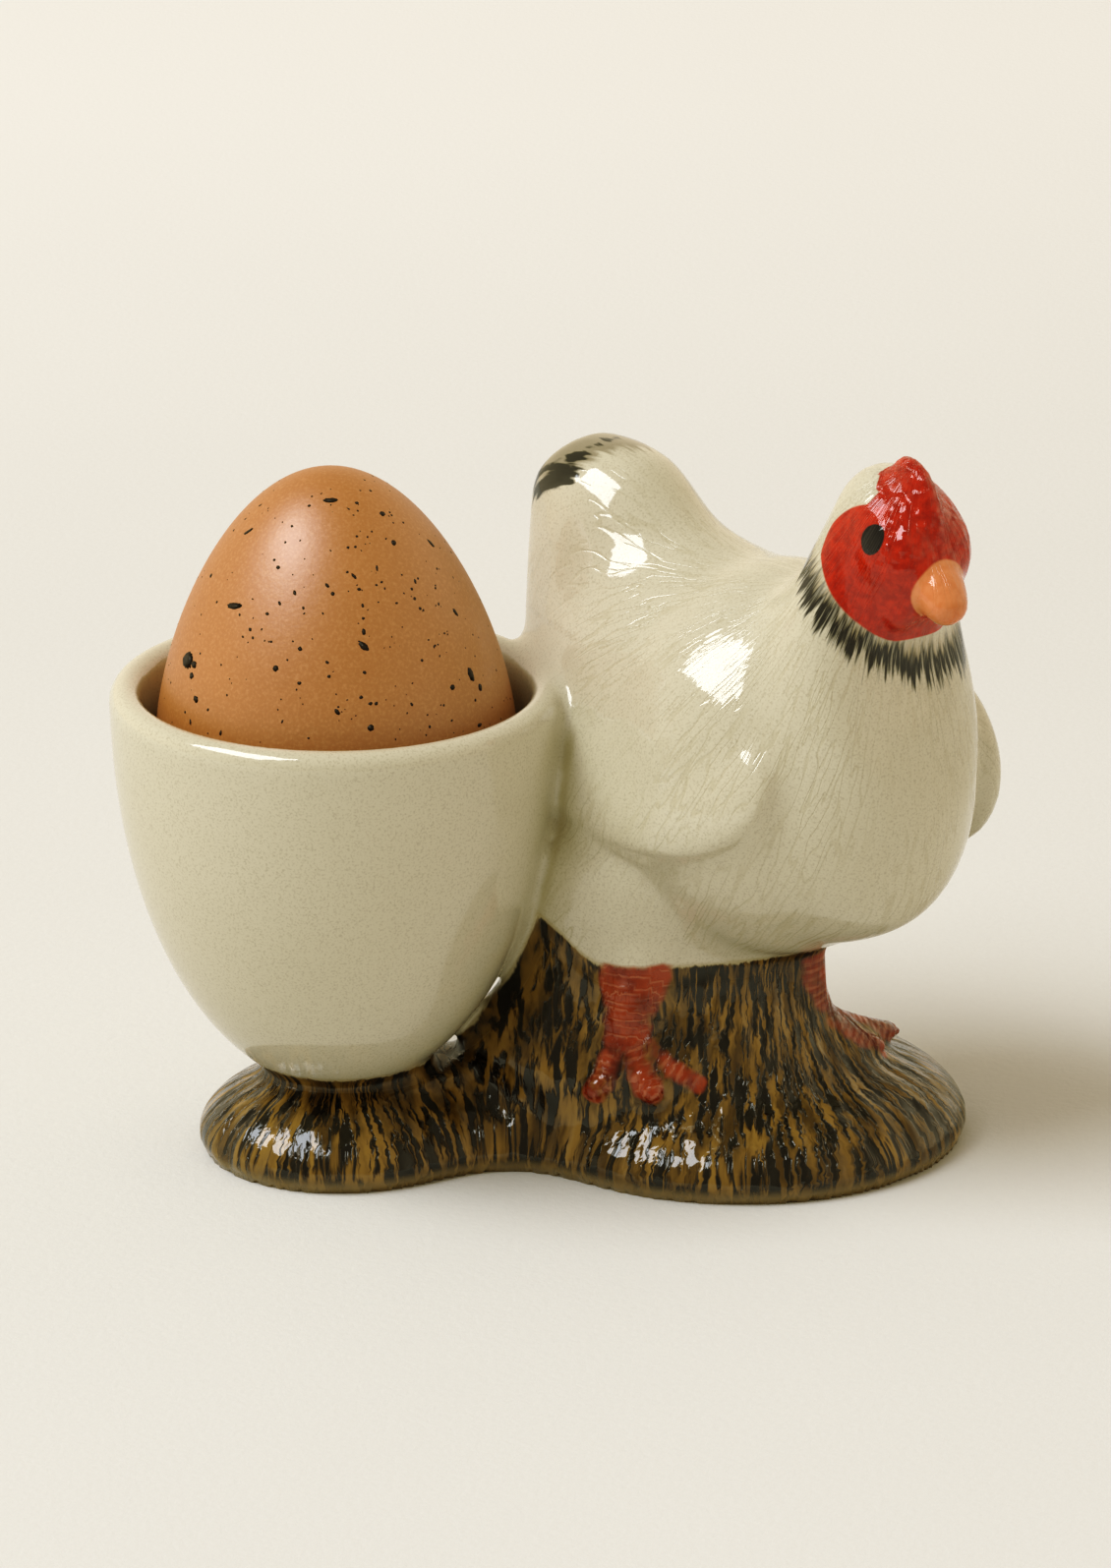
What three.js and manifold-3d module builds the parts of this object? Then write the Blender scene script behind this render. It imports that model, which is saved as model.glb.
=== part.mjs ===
// Boiled egg standing in a ceramic egg cup with a hen beside it, millimetres, +Z up.
// Working frame: the cup's axis is x = y = 0, the table is z = 0, +Y is away from the front.
// The last step moves both pieces so that the origin is the bottom centre of the whole.
import * as THREE from 'three';
import { mergeVertices } from 'three/addons/utils/BufferGeometryUtils.js';
import Module from 'manifold-3d';

const wasm = await Module();
wasm.setup();

// ---- egg ----
const EGG_LENGTH = 57.0;
const EGG_WIDTH = 45.2;
const EGG_TAPER = 8.2;          // offset of the widest place from the middle
const EGG_BOTTOM = 31.9;        // height of the blunt end inside the cup
const EGG_LEAN = 1.2;           // degrees, tip toward -X
const EGG_PIVOT = 20.5;         // centre of the blunt end's roundness, above the blunt end

// ---- cup ----
const CUP_RIM_RADIUS = 28.2;
const CUP_RIM_HEIGHT = 61.5;
const CUP_BOWL_DEPTH = 53.34;   // depth at which the outside curve would close
const CUP_BOWL_POWER = 2.17;
const CUP_FOOT_HEIGHT = 9.0;    // start of the outside curve, inside the base
const LIP_HALF_WIDTH = 2.0;
const LIP_RISE = 2.2;
// bowl for the egg: it follows the blunt end at the seat's gap, then opens to the lip
const SEAT_GAP = 0.43;
const SEAT_HEIGHT = 10.5;       // how far above the blunt end the bowl follows the egg
const SEAT_RINGS = 7;
const BOWL_WALL = [             // radius, height
  [22.6, 46.0], [23.4, 50.0], [23.9, 54.5], [24.2, 59.3],
];

// ---- hen: rails of the body in its own upright plane ----
// rows: forward and height of the back line, forward and height of the front line,
// half width across, how much lower than the middle the widest place lies
const HEN_STATIONS = [
  [-33.4, 84.0, -34.8, 81.0, 3.4, 0.00],
  [-29.4, 86.2, -36.2, 77.0, 6.8, 0.00],
  [-20.0, 85.0, -37.2, 69.0, 9.4, 0.00],
  [-12.0, 78.4, -36.0, 56.0, 14.2, 0.05],
  [-4.0, 75.8, -32.0, 38.0, 20.4, 0.06],
  [2.5, 75.6, -18.0, 27.5, 23.2, 0.06],
  [8.0, 76.8, 4.0, 28.0, 22.4, 0.08],
  [11.0, 80.2, 23.2, 34.0, 17.6, 0.06],
  [13.4, 85.8, 29.2, 46.5, 13.6, 0.05],
  [15.0, 89.4, 28.4, 59.0, 10.6, 0.03],
  [16.6, 92.0, 26.6, 68.5, 8.9, 0.00],
  [18.8, 93.2, 26.6, 74.2, 7.7, 0.00],
  [22.6, 93.2, 28.6, 76.2, 7.2, 0.00],
  [27.2, 91.0, 30.4, 78.5, 5.8, 0.00],
  [30.4, 86.4, 30.8, 83.6, 1.0, 0.00],
];
const HEN_PLACE = [53.0, 2.0];
const HEN_HEADING = 45;         // degrees from the front toward +X
const NECK_TURN = 10;           // degrees the head looks further to the front
const NECK_PIVOT = 22;          // forward place the neck turns about
const NECK_START = 8;           // station where the turn begins
const NECK_END = 11;            // station where the turn is complete

// ---- shoulders, wings, wattles, cheeks: forward, side, height, half sizes, tip-up angle and
// roll, which leans the upper edge in toward the body ----
const SHOULDERS = { at: [3.3, 0, 52.0], half: [23.3, 23.5, 24.9], pitch: 0, roll: 0 };
const WING_NEAR = { at: [-1.0, 18.9, 55.0], half: [20, 4.2, 12.0], pitch: 0, roll: 22 };
const WING_FAR = { at: [7.4, 19.9, 49.5], half: [14, 5.0, 14.0], pitch: 0, roll: 8 };
const WATTLE = { at: [26.4, 3.4, 78.0], half: [3.2, 2.2, 3.6], pitch: -20, roll: 0 };
const CHEEK = { at: [24.2, 2.6, 83.6], half: [7.0, 4.9, 6.8], pitch: 0, roll: 0 };
// forward, side, height and radius along the beak
const BEAK = [
  [27.5, 0, 81.8, 3.7], [31.0, -0.4, 80.4, 3.4], [33.6, -0.8, 78.8, 2.6], [35.2, -1.0, 77.6, 1.5],
];
const COMB_THICK = 3.0;
const COMB_ROUNDING = 0.7;
const COMB_LINE = [
  [20.6, 87.0], [19.2, 90.2], [19.8, 92.6], [21.4, 93.7], [23.4, 95.3], [25.8, 95.1],
  [27.8, 93.8], [29.3, 91.6], [30.4, 88.8], [30.9, 85.0], [29.0, 82.0],
];

// ---- base ----
const FOOT_CUP_AT = [0, -1.2];
const FOOT_CUP_RADIUS = 15.9;
const FOOT_HEN_AT = [50.4, 4.1];
const FOOT_HEN_RADII = [27.2, 24.8];
const FOOT_WAIST_HALF = 11.4;   // half width of the bridge between the two round parts
const FOOT_BLEND = 7.0;
const FOOT_CENTRE = [22.0, 2.0];
// edge of the base plate: distance outward from the footprint, height
const FOOT_EDGE = [
  [0, 0], [1.2, 0.7], [1.7, 1.9], [1.4, 3.5], [0.2, 5.3], [-1.9, 7.1], [-4.6, 8.7], [-7.6, 9.9],
];
const FOOT_TOP = 11.0;
// mound under the hen: height, centre x, centre y, half width x, half width y
const MOUND = [
  [6.0, 44.0, 2.5, 26.0, 17.6],
  [10.5, 42.0, 2.2, 26.0, 16.4],
  [14.0, 39.5, 2.0, 24.5, 14.9],
  [18.0, 39.6, 1.8, 21.2, 13.5],
  [23.0, 39.8, 1.6, 18.4, 12.1],
  [28.0, 40.3, 1.6, 17.9, 12.2],
  [34.0, 41.0, 1.6, 18.8, 14.0],
  [40.0, 42.5, 2.0, 19.5, 15.5],
  [46.0, 44.0, 2.0, 17.0, 14.0],
];

// ---- legs and toes: x, y, z, radius along each ----
const LEG_PARTS = [
  [[37.8, -4.8, 31.0, 5.9], [37.6, -6.5, 27.0, 5.5], [36.8, -8.8, 22.5, 3.9], [36.2, -10.3, 18.0, 3.1]],
  [[36.2, -10.2, 18.6, 2.2], [34.0, -12.3, 13.8, 1.9], [31.0, -14.3, 11.4, 1.1]],
  [[36.2, -10.4, 18.6, 2.2], [38.0, -13.2, 14.0, 1.9], [40.0, -16.0, 11.6, 1.1]],
  [[36.6, -10.2, 18.8, 2.1], [40.5, -12.0, 15.2, 1.7], [44.8, -13.2, 12.8, 1.0]],
  [[57.6, -1.0, 31.0, 3.0], [58.4, -1.0, 26.0, 2.6], [59.2, -0.6, 20.0, 2.3], [61.0, 0.4, 16.0, 2.1]],
  [[60.4, 0.0, 16.6, 2.0], [65.0, 3.6, 13.8, 1.7], [71.0, 7.6, 11.6, 1.1]],
  [[60.4, -0.4, 16.6, 2.0], [64.6, 0.2, 13.6, 1.6], [69.0, 1.6, 11.8, 1.0]],
];

// ---- helpers ----

// point on a Catmull-Rom curve through the rows of a table, t from 0 to 1
function alongTable(rows, t) {
  const last = rows.length - 1;
  const x = Math.min(Math.max(t, 0), 1) * last;
  const i = Math.min(Math.floor(x), last - 1);
  const w = x - i;
  const row = (k) => rows[k];
  return row(0).map((unused, c) => {
    const p1 = row(i)[c];
    const p2 = row(i + 1)[c];
    const p0 = i === 0 ? 2 * p1 - p2 : row(i - 1)[c];
    const p3 = i === last - 1 ? 2 * p2 - p1 : row(i + 2)[c];
    const v0 = (p2 - p0) / 2;
    const v1 = (p3 - p1) / 2;
    return (2 * p1 - 2 * p2 + v0 + v1) * w ** 3 + (3 * p2 - 3 * p1 - 2 * v0 - v1) * w ** 2 + v0 * w + p1;
  });
}

function eased(x, a, b) {
  const t = Math.min(Math.max((x - a) / (b - a), 0), 1);
  return t * t * (3 - 2 * t);
}

// from the hen's forward, side and height to the working frame
function henPoint(forward, side, height) {
  const a = THREE.MathUtils.degToRad(HEN_HEADING);
  return [
    HEN_PLACE[0] + forward * Math.sin(a) + side * Math.cos(a),
    HEN_PLACE[1] - forward * Math.cos(a) + side * Math.sin(a),
    height,
  ];
}

// the same for pieces of the head, which turn with the neck
function headPoint(forward, side, height, amount = 1) {
  const k = -THREE.MathUtils.degToRad(NECK_TURN) * amount;
  const f = forward - NECK_PIVOT;
  return henPoint(
    NECK_PIVOT + f * Math.cos(k) - side * Math.sin(k),
    f * Math.sin(k) + side * Math.cos(k),
    height,
  );
}

// closed skin over rows of rings; every ring has the same number of points, and the ends are
// capped by their middle points or by a given centre in plan; the rings run counter-clockwise
// seen from the last ring
function ringSkin(rings, capCentre = null) {
  const n = rings[0].length;
  const points = [];
  const index = [];
  const mean = (ring, c) => ring.reduce((s, p) => s + p[c], 0) / n;
  const middle = (ring) => {
    const [x, y, z] = [0, 1, 2].map((c) => mean(ring, c));
    return capCentre ? [...capCentre, z] : [x, y, z];
  };
  points.push(middle(rings[0]));
  rings.forEach((ring) => ring.forEach((p) => points.push(p)));
  points.push(middle(rings[rings.length - 1]));
  const end = points.length - 1;
  for (let j = 0; j < n; j += 1) {
    const k = (j + 1) % n;
    index.push(0, 1 + k, 1 + j);
    for (let i = 0; i < rings.length - 1; i += 1) {
      const a = 1 + i * n + j;
      const b = 1 + i * n + k;
      index.push(a, b, b + n, a, b + n, a + n);
    }
    index.push(end, end - n + j, end - n + k);
  }
  const geometry = new THREE.BufferGeometry();
  geometry.setAttribute('position', new THREE.Float32BufferAttribute(points.flat(), 3));
  geometry.setIndex(index);
  return geometry;
}

function turned(profile, segments) {
  const points = profile.map(([r, z]) => new THREE.Vector2(r, z));
  const geometry = new THREE.LatheGeometry(points, segments);
  geometry.rotateX(Math.PI / 2);
  return geometry;
}

// closed solid from a geometry; an inside-out skin is turned over
function solid(geometry) {
  const g = geometry.clone();
  g.deleteAttribute('normal');
  g.deleteAttribute('uv');
  const merged = mergeVertices(g, 1e-4);
  const vertProperties = Float32Array.from(merged.attributes.position.array);
  const corners = [];
  const source = merged.index.array;
  for (let i = 0; i < source.length; i += 3) {
    const [a, b, c] = [source[i], source[i + 1], source[i + 2]];
    if (a !== b && b !== c && c !== a) corners.push(a, b, c);
  }
  let volume = 0;
  const at = (i) => new THREE.Vector3().fromArray(vertProperties, i * 3);
  for (let i = 0; i < corners.length; i += 3) {
    volume += at(corners[i]).dot(at(corners[i + 1]).cross(at(corners[i + 2])));
  }
  if (volume < 0) {
    for (let i = 0; i < corners.length; i += 3) {
      [corners[i + 1], corners[i + 2]] = [corners[i + 2], corners[i + 1]];
    }
  }
  const triVerts = Uint32Array.from(corners);
  return new wasm.Manifold(new wasm.Mesh({ numProp: 3, vertProperties, triVerts }));
}

function skinOf(manifold) {
  const mesh = manifold.getMesh();
  const geometry = new THREE.BufferGeometry();
  const stride = mesh.numProp;
  const count = mesh.vertProperties.length / stride;
  const position = new Float32Array(count * 3);
  for (let i = 0; i < count; i += 1) {
    for (let c = 0; c < 3; c += 1) position[i * 3 + c] = mesh.vertProperties[i * stride + c];
  }
  geometry.setAttribute('position', new THREE.BufferAttribute(position, 3));
  geometry.setIndex(new THREE.BufferAttribute(Uint32Array.from(mesh.triVerts), 1));
  geometry.computeVertexNormals();
  return geometry;
}

// ---- egg ----

function eggRadius(above) {
  const x = above - EGG_LENGTH / 2;
  const l2 = EGG_LENGTH ** 2;
  const under = l2 + 8 * EGG_TAPER * x + 4 * EGG_TAPER ** 2;
  return (EGG_WIDTH / 2) * Math.sqrt(Math.max(l2 - 4 * x * x, 0) / under);
}

function eggGeometry() {
  const profile = [];
  const steps = 18;
  for (let i = 0; i <= steps; i += 1) {
    const above = (EGG_LENGTH / 2) * (1 - Math.cos((Math.PI * i) / steps));
    const radius = i === 0 || i === steps ? 0 : eggRadius(above);
    profile.push([radius, above - EGG_PIVOT]);
  }
  const geometry = turned(profile, 40);
  geometry.rotateY(-THREE.MathUtils.degToRad(EGG_LEAN));
  geometry.translate(0, 0, EGG_BOTTOM + EGG_PIVOT);
  return geometry;
}

// ---- cup ----

function cupOutside(height) {
  const down = Math.max(CUP_RIM_HEIGHT - height, 0) / CUP_BOWL_DEPTH;
  return CUP_RIM_RADIUS * Math.sqrt(Math.max(1 - down ** CUP_BOWL_POWER, 0));
}

function bowlLine() {
  const line = [[0, EGG_BOTTOM - SEAT_GAP]];
  for (let i = 1; i <= SEAT_RINGS; i += 1) {
    const above = SEAT_HEIGHT * (i / SEAT_RINGS) ** 1.6;
    const slope = (eggRadius(above + 0.01) - eggRadius(above - 0.01)) / 0.02;
    const length = Math.hypot(1, slope);
    line.push([
      eggRadius(above) + SEAT_GAP / length,
      EGG_BOTTOM + above - (SEAT_GAP * slope) / length,
    ]);
  }
  return line.concat(BOWL_WALL);
}

function cupSolid() {
  const profile = [[0, CUP_FOOT_HEIGHT]];
  const lipStart = CUP_RIM_HEIGHT - LIP_RISE;
  for (let i = 0; i <= 9; i += 1) {
    const z = CUP_FOOT_HEIGHT + (lipStart - CUP_FOOT_HEIGHT) * (1 - (1 - i / 9) ** 1.3);
    profile.push([cupOutside(z), z]);
  }
  for (let i = 1; i < 6; i += 1) {
    const a = (Math.PI * i) / 6;
    profile.push([
      CUP_RIM_RADIUS - LIP_HALF_WIDTH * (1 - Math.cos(a)),
      lipStart + LIP_RISE * Math.sin(a),
    ]);
  }
  bowlLine().reverse().forEach((p) => profile.push(p));
  return solid(turned(profile, 40));
}

// ---- hen ----

function henSolid() {
  const rings = [];
  const steps = 34;
  const around = 24;
  for (let i = 0; i <= steps; i += 1) {
    const t = i / steps;
    const [bf, bz, ff, fz, halfWidth, low] = alongTable(HEN_STATIONS, t);
    const turn = eased(t * (HEN_STATIONS.length - 1), NECK_START, NECK_END);
    const ring = [];
    for (let j = 0; j < around; j += 1) {
      const a = (2 * Math.PI * j) / around;
      const up = Math.cos(a);
      const across = Math.sin(a) * (1 - low * up);
      const forward = (bf + ff) / 2 + ((bf - ff) / 2) * up;
      const height = (bz + fz) / 2 + ((bz - fz) / 2) * up;
      ring.push(headPoint(forward, Math.max(halfWidth, 0.2) * across, height, turn));
    }
    rings.push(ring);
  }
  return solid(ringSkin(rings));
}

// egg-shaped lump given by its middle, half sizes and tip-up angle; side is +1 left, -1 right
function lumpSolid(lump, side, place, fine = 10) {
  const [f0, s0, z0] = lump.at;
  const pitch = THREE.MathUtils.degToRad(lump.pitch);
  const roll = THREE.MathUtils.degToRad(lump.roll) * side;
  const geometry = new THREE.SphereGeometry(1, fine + 4, fine);
  const position = geometry.attributes.position;
  for (let i = 0; i < position.count; i += 1) {
    const f = position.getX(i) * lump.half[0];
    const across = position.getZ(i) * lump.half[1];
    const upward = position.getY(i) * lump.half[2];
    const s = across * Math.cos(roll) - upward * Math.sin(roll);
    const z = across * Math.sin(roll) + upward * Math.cos(roll);
    const forward = f0 + f * Math.cos(pitch) - z * Math.sin(pitch);
    const height = z0 + f * Math.sin(pitch) + z * Math.cos(pitch);
    position.setXYZ(i, ...place(forward, side * s0 + s, height));
  }
  return solid(geometry);
}

function combSolid() {
  const shape = new THREE.Shape();
  shape.moveTo(...COMB_LINE[0]);
  shape.splineThru(COMB_LINE.slice(1).map((p) => new THREE.Vector2(...p)));
  shape.closePath();
  const geometry = new THREE.ExtrudeGeometry(shape, {
    depth: COMB_THICK - 2 * COMB_ROUNDING,
    bevelEnabled: true,
    bevelThickness: COMB_ROUNDING,
    bevelSize: COMB_ROUNDING,
    bevelOffset: -COMB_ROUNDING,
    bevelSegments: 1,
    curveSegments: 2,
  });
  const position = geometry.attributes.position;
  for (let i = 0; i < position.count; i += 1) {
    const side = position.getZ(i) - COMB_THICK / 2 + COMB_ROUNDING;
    position.setXYZ(i, ...headPoint(position.getX(i), side, position.getY(i)));
  }
  return solid(geometry);
}

// ---- base ----

function softMin(a, b, k) {
  const h = Math.min(Math.max(0.5 + (0.5 * (b - a)) / k, 0), 1);
  return b * (1 - h) + a * h - k * h * (1 - h);
}

// below zero inside the footprint: a disc under the cup, an oval under the hen, a bridge between
function footprint(x, y) {
  const [hx, hy] = FOOT_HEN_AT;
  const [rx, ry] = FOOT_HEN_RADII;
  const disc = Math.hypot(x - FOOT_CUP_AT[0], y - FOOT_CUP_AT[1]) - FOOT_CUP_RADIUS;
  const oval = (Math.hypot((x - hx) / rx, (y - hy) / ry) - 1) * Math.min(rx, ry);
  const along = Math.min(Math.max(x, 0), hx);
  const bridge = Math.hypot(x - along, y - (along * hy) / hx) - FOOT_WAIST_HALF;
  return softMin(softMin(disc, oval, FOOT_BLEND), bridge, FOOT_BLEND);
}

function footLine(count) {
  const line = [];
  for (let i = 0; i < count; i += 1) {
    const a = (2 * Math.PI * i) / count;
    let near = 0;
    let far = 80;
    for (let k = 0; k < 40; k += 1) {
      const middle = (near + far) / 2;
      const x = FOOT_CENTRE[0] + middle * Math.cos(a);
      const y = FOOT_CENTRE[1] + middle * Math.sin(a);
      if (footprint(x, y) > 0) far = middle;
      else near = middle;
    }
    line.push([FOOT_CENTRE[0] + near * Math.cos(a), FOOT_CENTRE[1] + near * Math.sin(a)]);
  }
  return line;
}

function footSolid() {
  const line = footLine(56);
  const n = line.length;
  const rings = FOOT_EDGE.map(([out, z]) => line.map(([x, y], i) => {
    const [ax, ay] = line[(i + n - 1) % n];
    const [bx, by] = line[(i + 1) % n];
    const length = Math.hypot(bx - ax, by - ay);
    return [x + (out * (by - ay)) / length, y - (out * (bx - ax)) / length, z];
  }));
  rings.push(line.map(([x, y]) => [
    FOOT_CENTRE[0] + (x - FOOT_CENTRE[0]) * 0.4,
    FOOT_CENTRE[1] + (y - FOOT_CENTRE[1]) * 0.4,
    FOOT_TOP,
  ]));
  return solid(ringSkin(rings, FOOT_CENTRE));
}

function moundSolid() {
  const rings = [];
  for (let i = 0; i <= 9; i += 1) {
    const [z, cx, cy, rx, ry] = alongTable(MOUND, i / 9);
    const ring = [];
    for (let j = 0; j < 36; j += 1) {
      const a = (2 * Math.PI * j) / 36;
      ring.push([cx + rx * Math.cos(a), cy + ry * Math.sin(a), z]);
    }
    rings.push(ring);
  }
  return solid(ringSkin(rings));
}

// round bar through points with a radius at each, ends closed by small caps
function barSolid(rows) {
  const steps = 6;
  const around = 10;
  const at = (t) => alongTable(rows, t);
  const rings = [];
  for (let i = 0; i <= steps; i += 1) {
    const t = i / steps;
    const [x, y, z, radius] = at(t);
    const a = at(Math.max(t - 0.02, 0));
    const b = at(Math.min(t + 0.02, 1));
    const way = new THREE.Vector3(b[0] - a[0], b[1] - a[1], b[2] - a[2]).normalize();
    const across = new THREE.Vector3(0, 1, 0.3).cross(way).normalize();
    const up = way.clone().cross(across);
    const ring = [];
    for (let j = 0; j < around; j += 1) {
      const angle = (2 * Math.PI * j) / around;
      const p = new THREE.Vector3(x, y, z);
      p.addScaledVector(across, radius * Math.cos(angle));
      p.addScaledVector(up, radius * Math.sin(angle));
      ring.push(p.toArray());
    }
    rings.push(ring);
  }
  return solid(ringSkin(rings));
}

function ceramicSolid() {
  const pieces = [
    henSolid(),
    lumpSolid(SHOULDERS, 1, henPoint, 13),
    lumpSolid(WING_FAR, 1, henPoint, 8),
    lumpSolid(WING_NEAR, -1, henPoint, 8),
    lumpSolid(CHEEK, 1, headPoint, 7),
    lumpSolid(CHEEK, -1, headPoint, 7),
    lumpSolid(WATTLE, 1, headPoint, 7),
    lumpSolid(WATTLE, -1, headPoint, 7),
    barSolid(BEAK.map(([f, s, z, radius]) => [...headPoint(f, s, z), radius])),
    combSolid(),
    footSolid(),
    moundSolid(),
    ...LEG_PARTS.map(barSolid),
  ];
  const room = solid(turned([
    [0, CUP_FOOT_HEIGHT + 1], [cupOutside(14) - 3, 14], [cupOutside(26) - 1, 26],
    [cupOutside(44) - 1, 44], [cupOutside(58) - 1, 58], [25, 100], [0, 100],
  ], 40));
  const figure = pieces.reduce((a, b) => a.add(b)).subtract(room);
  return figure.add(cupSolid());
}

// ---- assembly ----

const glaze = new THREE.MeshStandardMaterial({ color: 0xd9d2b4, roughness: 0.18 });
const shell = new THREE.MeshStandardMaterial({ color: 0xc6844a, roughness: 0.5 });

const ceramic = new THREE.Mesh(skinOf(ceramicSolid()), glaze);
ceramic.name = 'hen_egg_cup';
const egg = new THREE.Mesh(skinOf(solid(eggGeometry())), shell);
egg.name = 'boiled_egg';

const whole = new THREE.Box3();
whole.expandByObject(ceramic);
whole.expandByObject(egg);
const middle = whole.getCenter(new THREE.Vector3());
ceramic.geometry.translate(-middle.x, -middle.y, -whole.min.z);
egg.geometry.translate(-middle.x, -middle.y, -whole.min.z);

const part = new THREE.Group();
part.name = 'boiled_egg_in_egg_cup';
part.add(ceramic);
part.add(egg);

export default part;
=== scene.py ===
"""Boiled egg in a ceramic cup with a hen beside it: the visible surfaces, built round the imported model."""
import math

import bpy
import numpy as np
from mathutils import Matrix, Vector


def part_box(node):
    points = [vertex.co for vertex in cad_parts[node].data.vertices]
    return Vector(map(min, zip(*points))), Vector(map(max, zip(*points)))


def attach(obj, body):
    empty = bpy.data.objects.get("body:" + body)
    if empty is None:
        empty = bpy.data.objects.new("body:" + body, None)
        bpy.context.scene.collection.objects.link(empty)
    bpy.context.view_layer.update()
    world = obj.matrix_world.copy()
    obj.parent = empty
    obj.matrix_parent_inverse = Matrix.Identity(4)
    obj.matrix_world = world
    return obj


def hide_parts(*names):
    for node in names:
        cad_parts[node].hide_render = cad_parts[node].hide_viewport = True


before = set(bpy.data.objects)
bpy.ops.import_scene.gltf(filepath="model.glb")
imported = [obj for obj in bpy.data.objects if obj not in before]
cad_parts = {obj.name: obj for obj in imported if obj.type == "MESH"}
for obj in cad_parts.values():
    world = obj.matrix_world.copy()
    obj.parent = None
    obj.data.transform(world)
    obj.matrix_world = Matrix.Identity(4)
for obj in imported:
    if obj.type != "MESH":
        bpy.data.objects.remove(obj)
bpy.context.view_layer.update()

# -------- sizes, millimetres
# Shapes are worked out with the cup's axis at x = y = 0 and the table at z = 0.
MM = 0.001
EGG_LENGTH, EGG_WIDTH, EGG_TAPER = 57.0, 45.2, 8.2
# height of the blunt end, lean toward -X in degrees, and how far up the egg it leans about
EGG_BOTTOM, EGG_LEAN, EGG_PIVOT = 31.9, 1.2, 20.5
CUP_RIM_RADIUS, CUP_RIM_HEIGHT = 28.2, 61.5
CUP_BOWL_DEPTH, CUP_BOWL_POWER = 53.34, 2.17
CUP_FOOT_HEIGHT, LIP_HALF_WIDTH, LIP_RISE = 9.0, 2.0, 2.2
# how far the bowl stands off the egg, and how far up the egg it does so
SEAT_GAP, SEAT_HEIGHT = 0.43, 10.5
# radius and height of the bowl's wall from the seat to the lip
BOWL_WALL = [(22.6, 46.0), (23.4, 50.0), (23.9, 54.5), (24.2, 59.3)]
# height of the bowl's floor, and how far in from the cup's outside the middle of its wall lies
BOWL_FLOOR, WALL_MIDDLE = 27, 1.8

# hen's body: forward and height of the back line, forward and height of the front line,
# half width, and how much lower than the middle the widest place lies
HEN_STATIONS = [
    (-33.4, 84.0, -34.8, 81.0, 3.4, 0.00),
    (-29.4, 86.2, -36.2, 77.0, 6.8, 0.00),
    (-20.0, 85.0, -37.2, 69.0, 9.4, 0.00),
    (-12.0, 78.4, -36.0, 56.0, 13.1, 0.05),
    (-4.0, 75.8, -32.0, 38.0, 20.4, 0.06),
    (2.5, 75.6, -18.0, 27.5, 23.2, 0.06),
    (8.0, 76.8, 4.0, 28.0, 22.4, 0.08),
    (11.0, 80.2, 23.2, 34.0, 17.6, 0.06),
    (13.4, 85.8, 29.2, 46.5, 13.6, 0.05),
    (15.0, 89.4, 28.4, 59.0, 10.6, 0.03),
    (16.6, 92.0, 26.6, 68.5, 8.9, 0.00),
    (18.8, 93.2, 26.6, 74.2, 7.7, 0.00),
    (22.6, 93.2, 28.6, 76.2, 7.2, 0.00),
    (27.2, 91.0, 30.4, 78.5, 5.8, 0.00),
    (30.4, 86.4, 30.8, 83.6, 1.0, 0.00),
]
# place and heading of the hen; turn of its neck in degrees, and the stations over which it turns
HEN_X, HEN_Y, HEN_HEADING = 53.0, 2.0, 45.0
NECK_TURN, NECK_PIVOT, NECK_START, NECK_END = 10.0, 22.0, 8, 11
# forward and height along the comb's edge, and the point that its sides are drawn in to
COMB_LINE = [
    (20.6, 87.0), (19.2, 90.2), (19.8, 92.6), (21.4, 93.7), (23.4, 95.3), (25.8, 95.1),
    (27.8, 93.8), (29.3, 91.6), (30.4, 88.8), (30.9, 85.0), (29.0, 82.0),
]
COMB_MIDDLE, COMB_THICK = (26.0, 88.5), 3.0
# lumps: forward, side, height; half sizes; tip-up angle; roll of the upper edge inward
SHOULDERS = ((2.6, 0.0, 51.6), (23.6, 23.8, 25.0), 0.0, 0.0)
WING_NEAR = ((-1.0, 18.9, 55.0), (20.0, 4.2, 12.0), 0.0, 22.0)
WING_FAR = ((7.4, 19.9, 49.5), (14.0, 5.0, 14.0), 0.0, 8.0)
CHEEK = ((24.2, 2.6, 83.6), (7.0, 4.9, 6.8), 0.0, 0.0)
WATTLE = ((26.4, 3.4, 78.0), (3.2, 2.2, 3.6), -20.0, 0.0)
# forward, side, height and radius along the beak
BEAK = [
    (27.5, 0.0, 81.8, 3.7), (31.0, -0.4, 80.4, 3.4), (33.6, -0.8, 78.8, 2.6), (35.2, -1.0, 77.6, 1.5),
]

# footprint of the base: a disc under the cup, an oval under the hen and a bridge between them
FOOT_CUP_Y, FOOT_CUP_RADIUS = -1.2, 15.9
FOOT_HEN_X, FOOT_HEN_Y, FOOT_HEN_RX, FOOT_HEN_RY = 50.4, 4.1, 27.2, 24.8
FOOT_WAIST_HALF, FOOT_BLEND = 11.4, 7.0
# the point in the bridge that the footprint's rays start from
FOOT_X, FOOT_Y = 22.0, 2.0
# distance outside the footprint and height, up the edge of the base
FOOT_EDGE = [(0, 0), (1.2, 0.7), (1.7, 1.9), (1.4, 3.5), (0.2, 5.3), (-1.9, 7.1), (-4.6, 8.7), (-7.6, 9.9)]
FOOT_TOP = 11.0
# height, middle and half sizes of the mound's ovals
MOUND = [
    (6.0, 44.0, 2.5, 26.0, 17.6), (10.5, 42.0, 2.2, 26.0, 16.4), (14.0, 39.5, 2.0, 24.5, 14.9),
    (18.0, 39.6, 1.8, 21.2, 13.5), (23.0, 39.8, 1.6, 18.4, 12.1), (28.0, 40.3, 1.6, 17.9, 12.2),
    (34.0, 41.0, 1.6, 18.8, 14.0), (40.0, 42.5, 2.0, 19.5, 15.5), (46.0, 44.0, 2.0, 17.0, 14.0),
]
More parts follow.
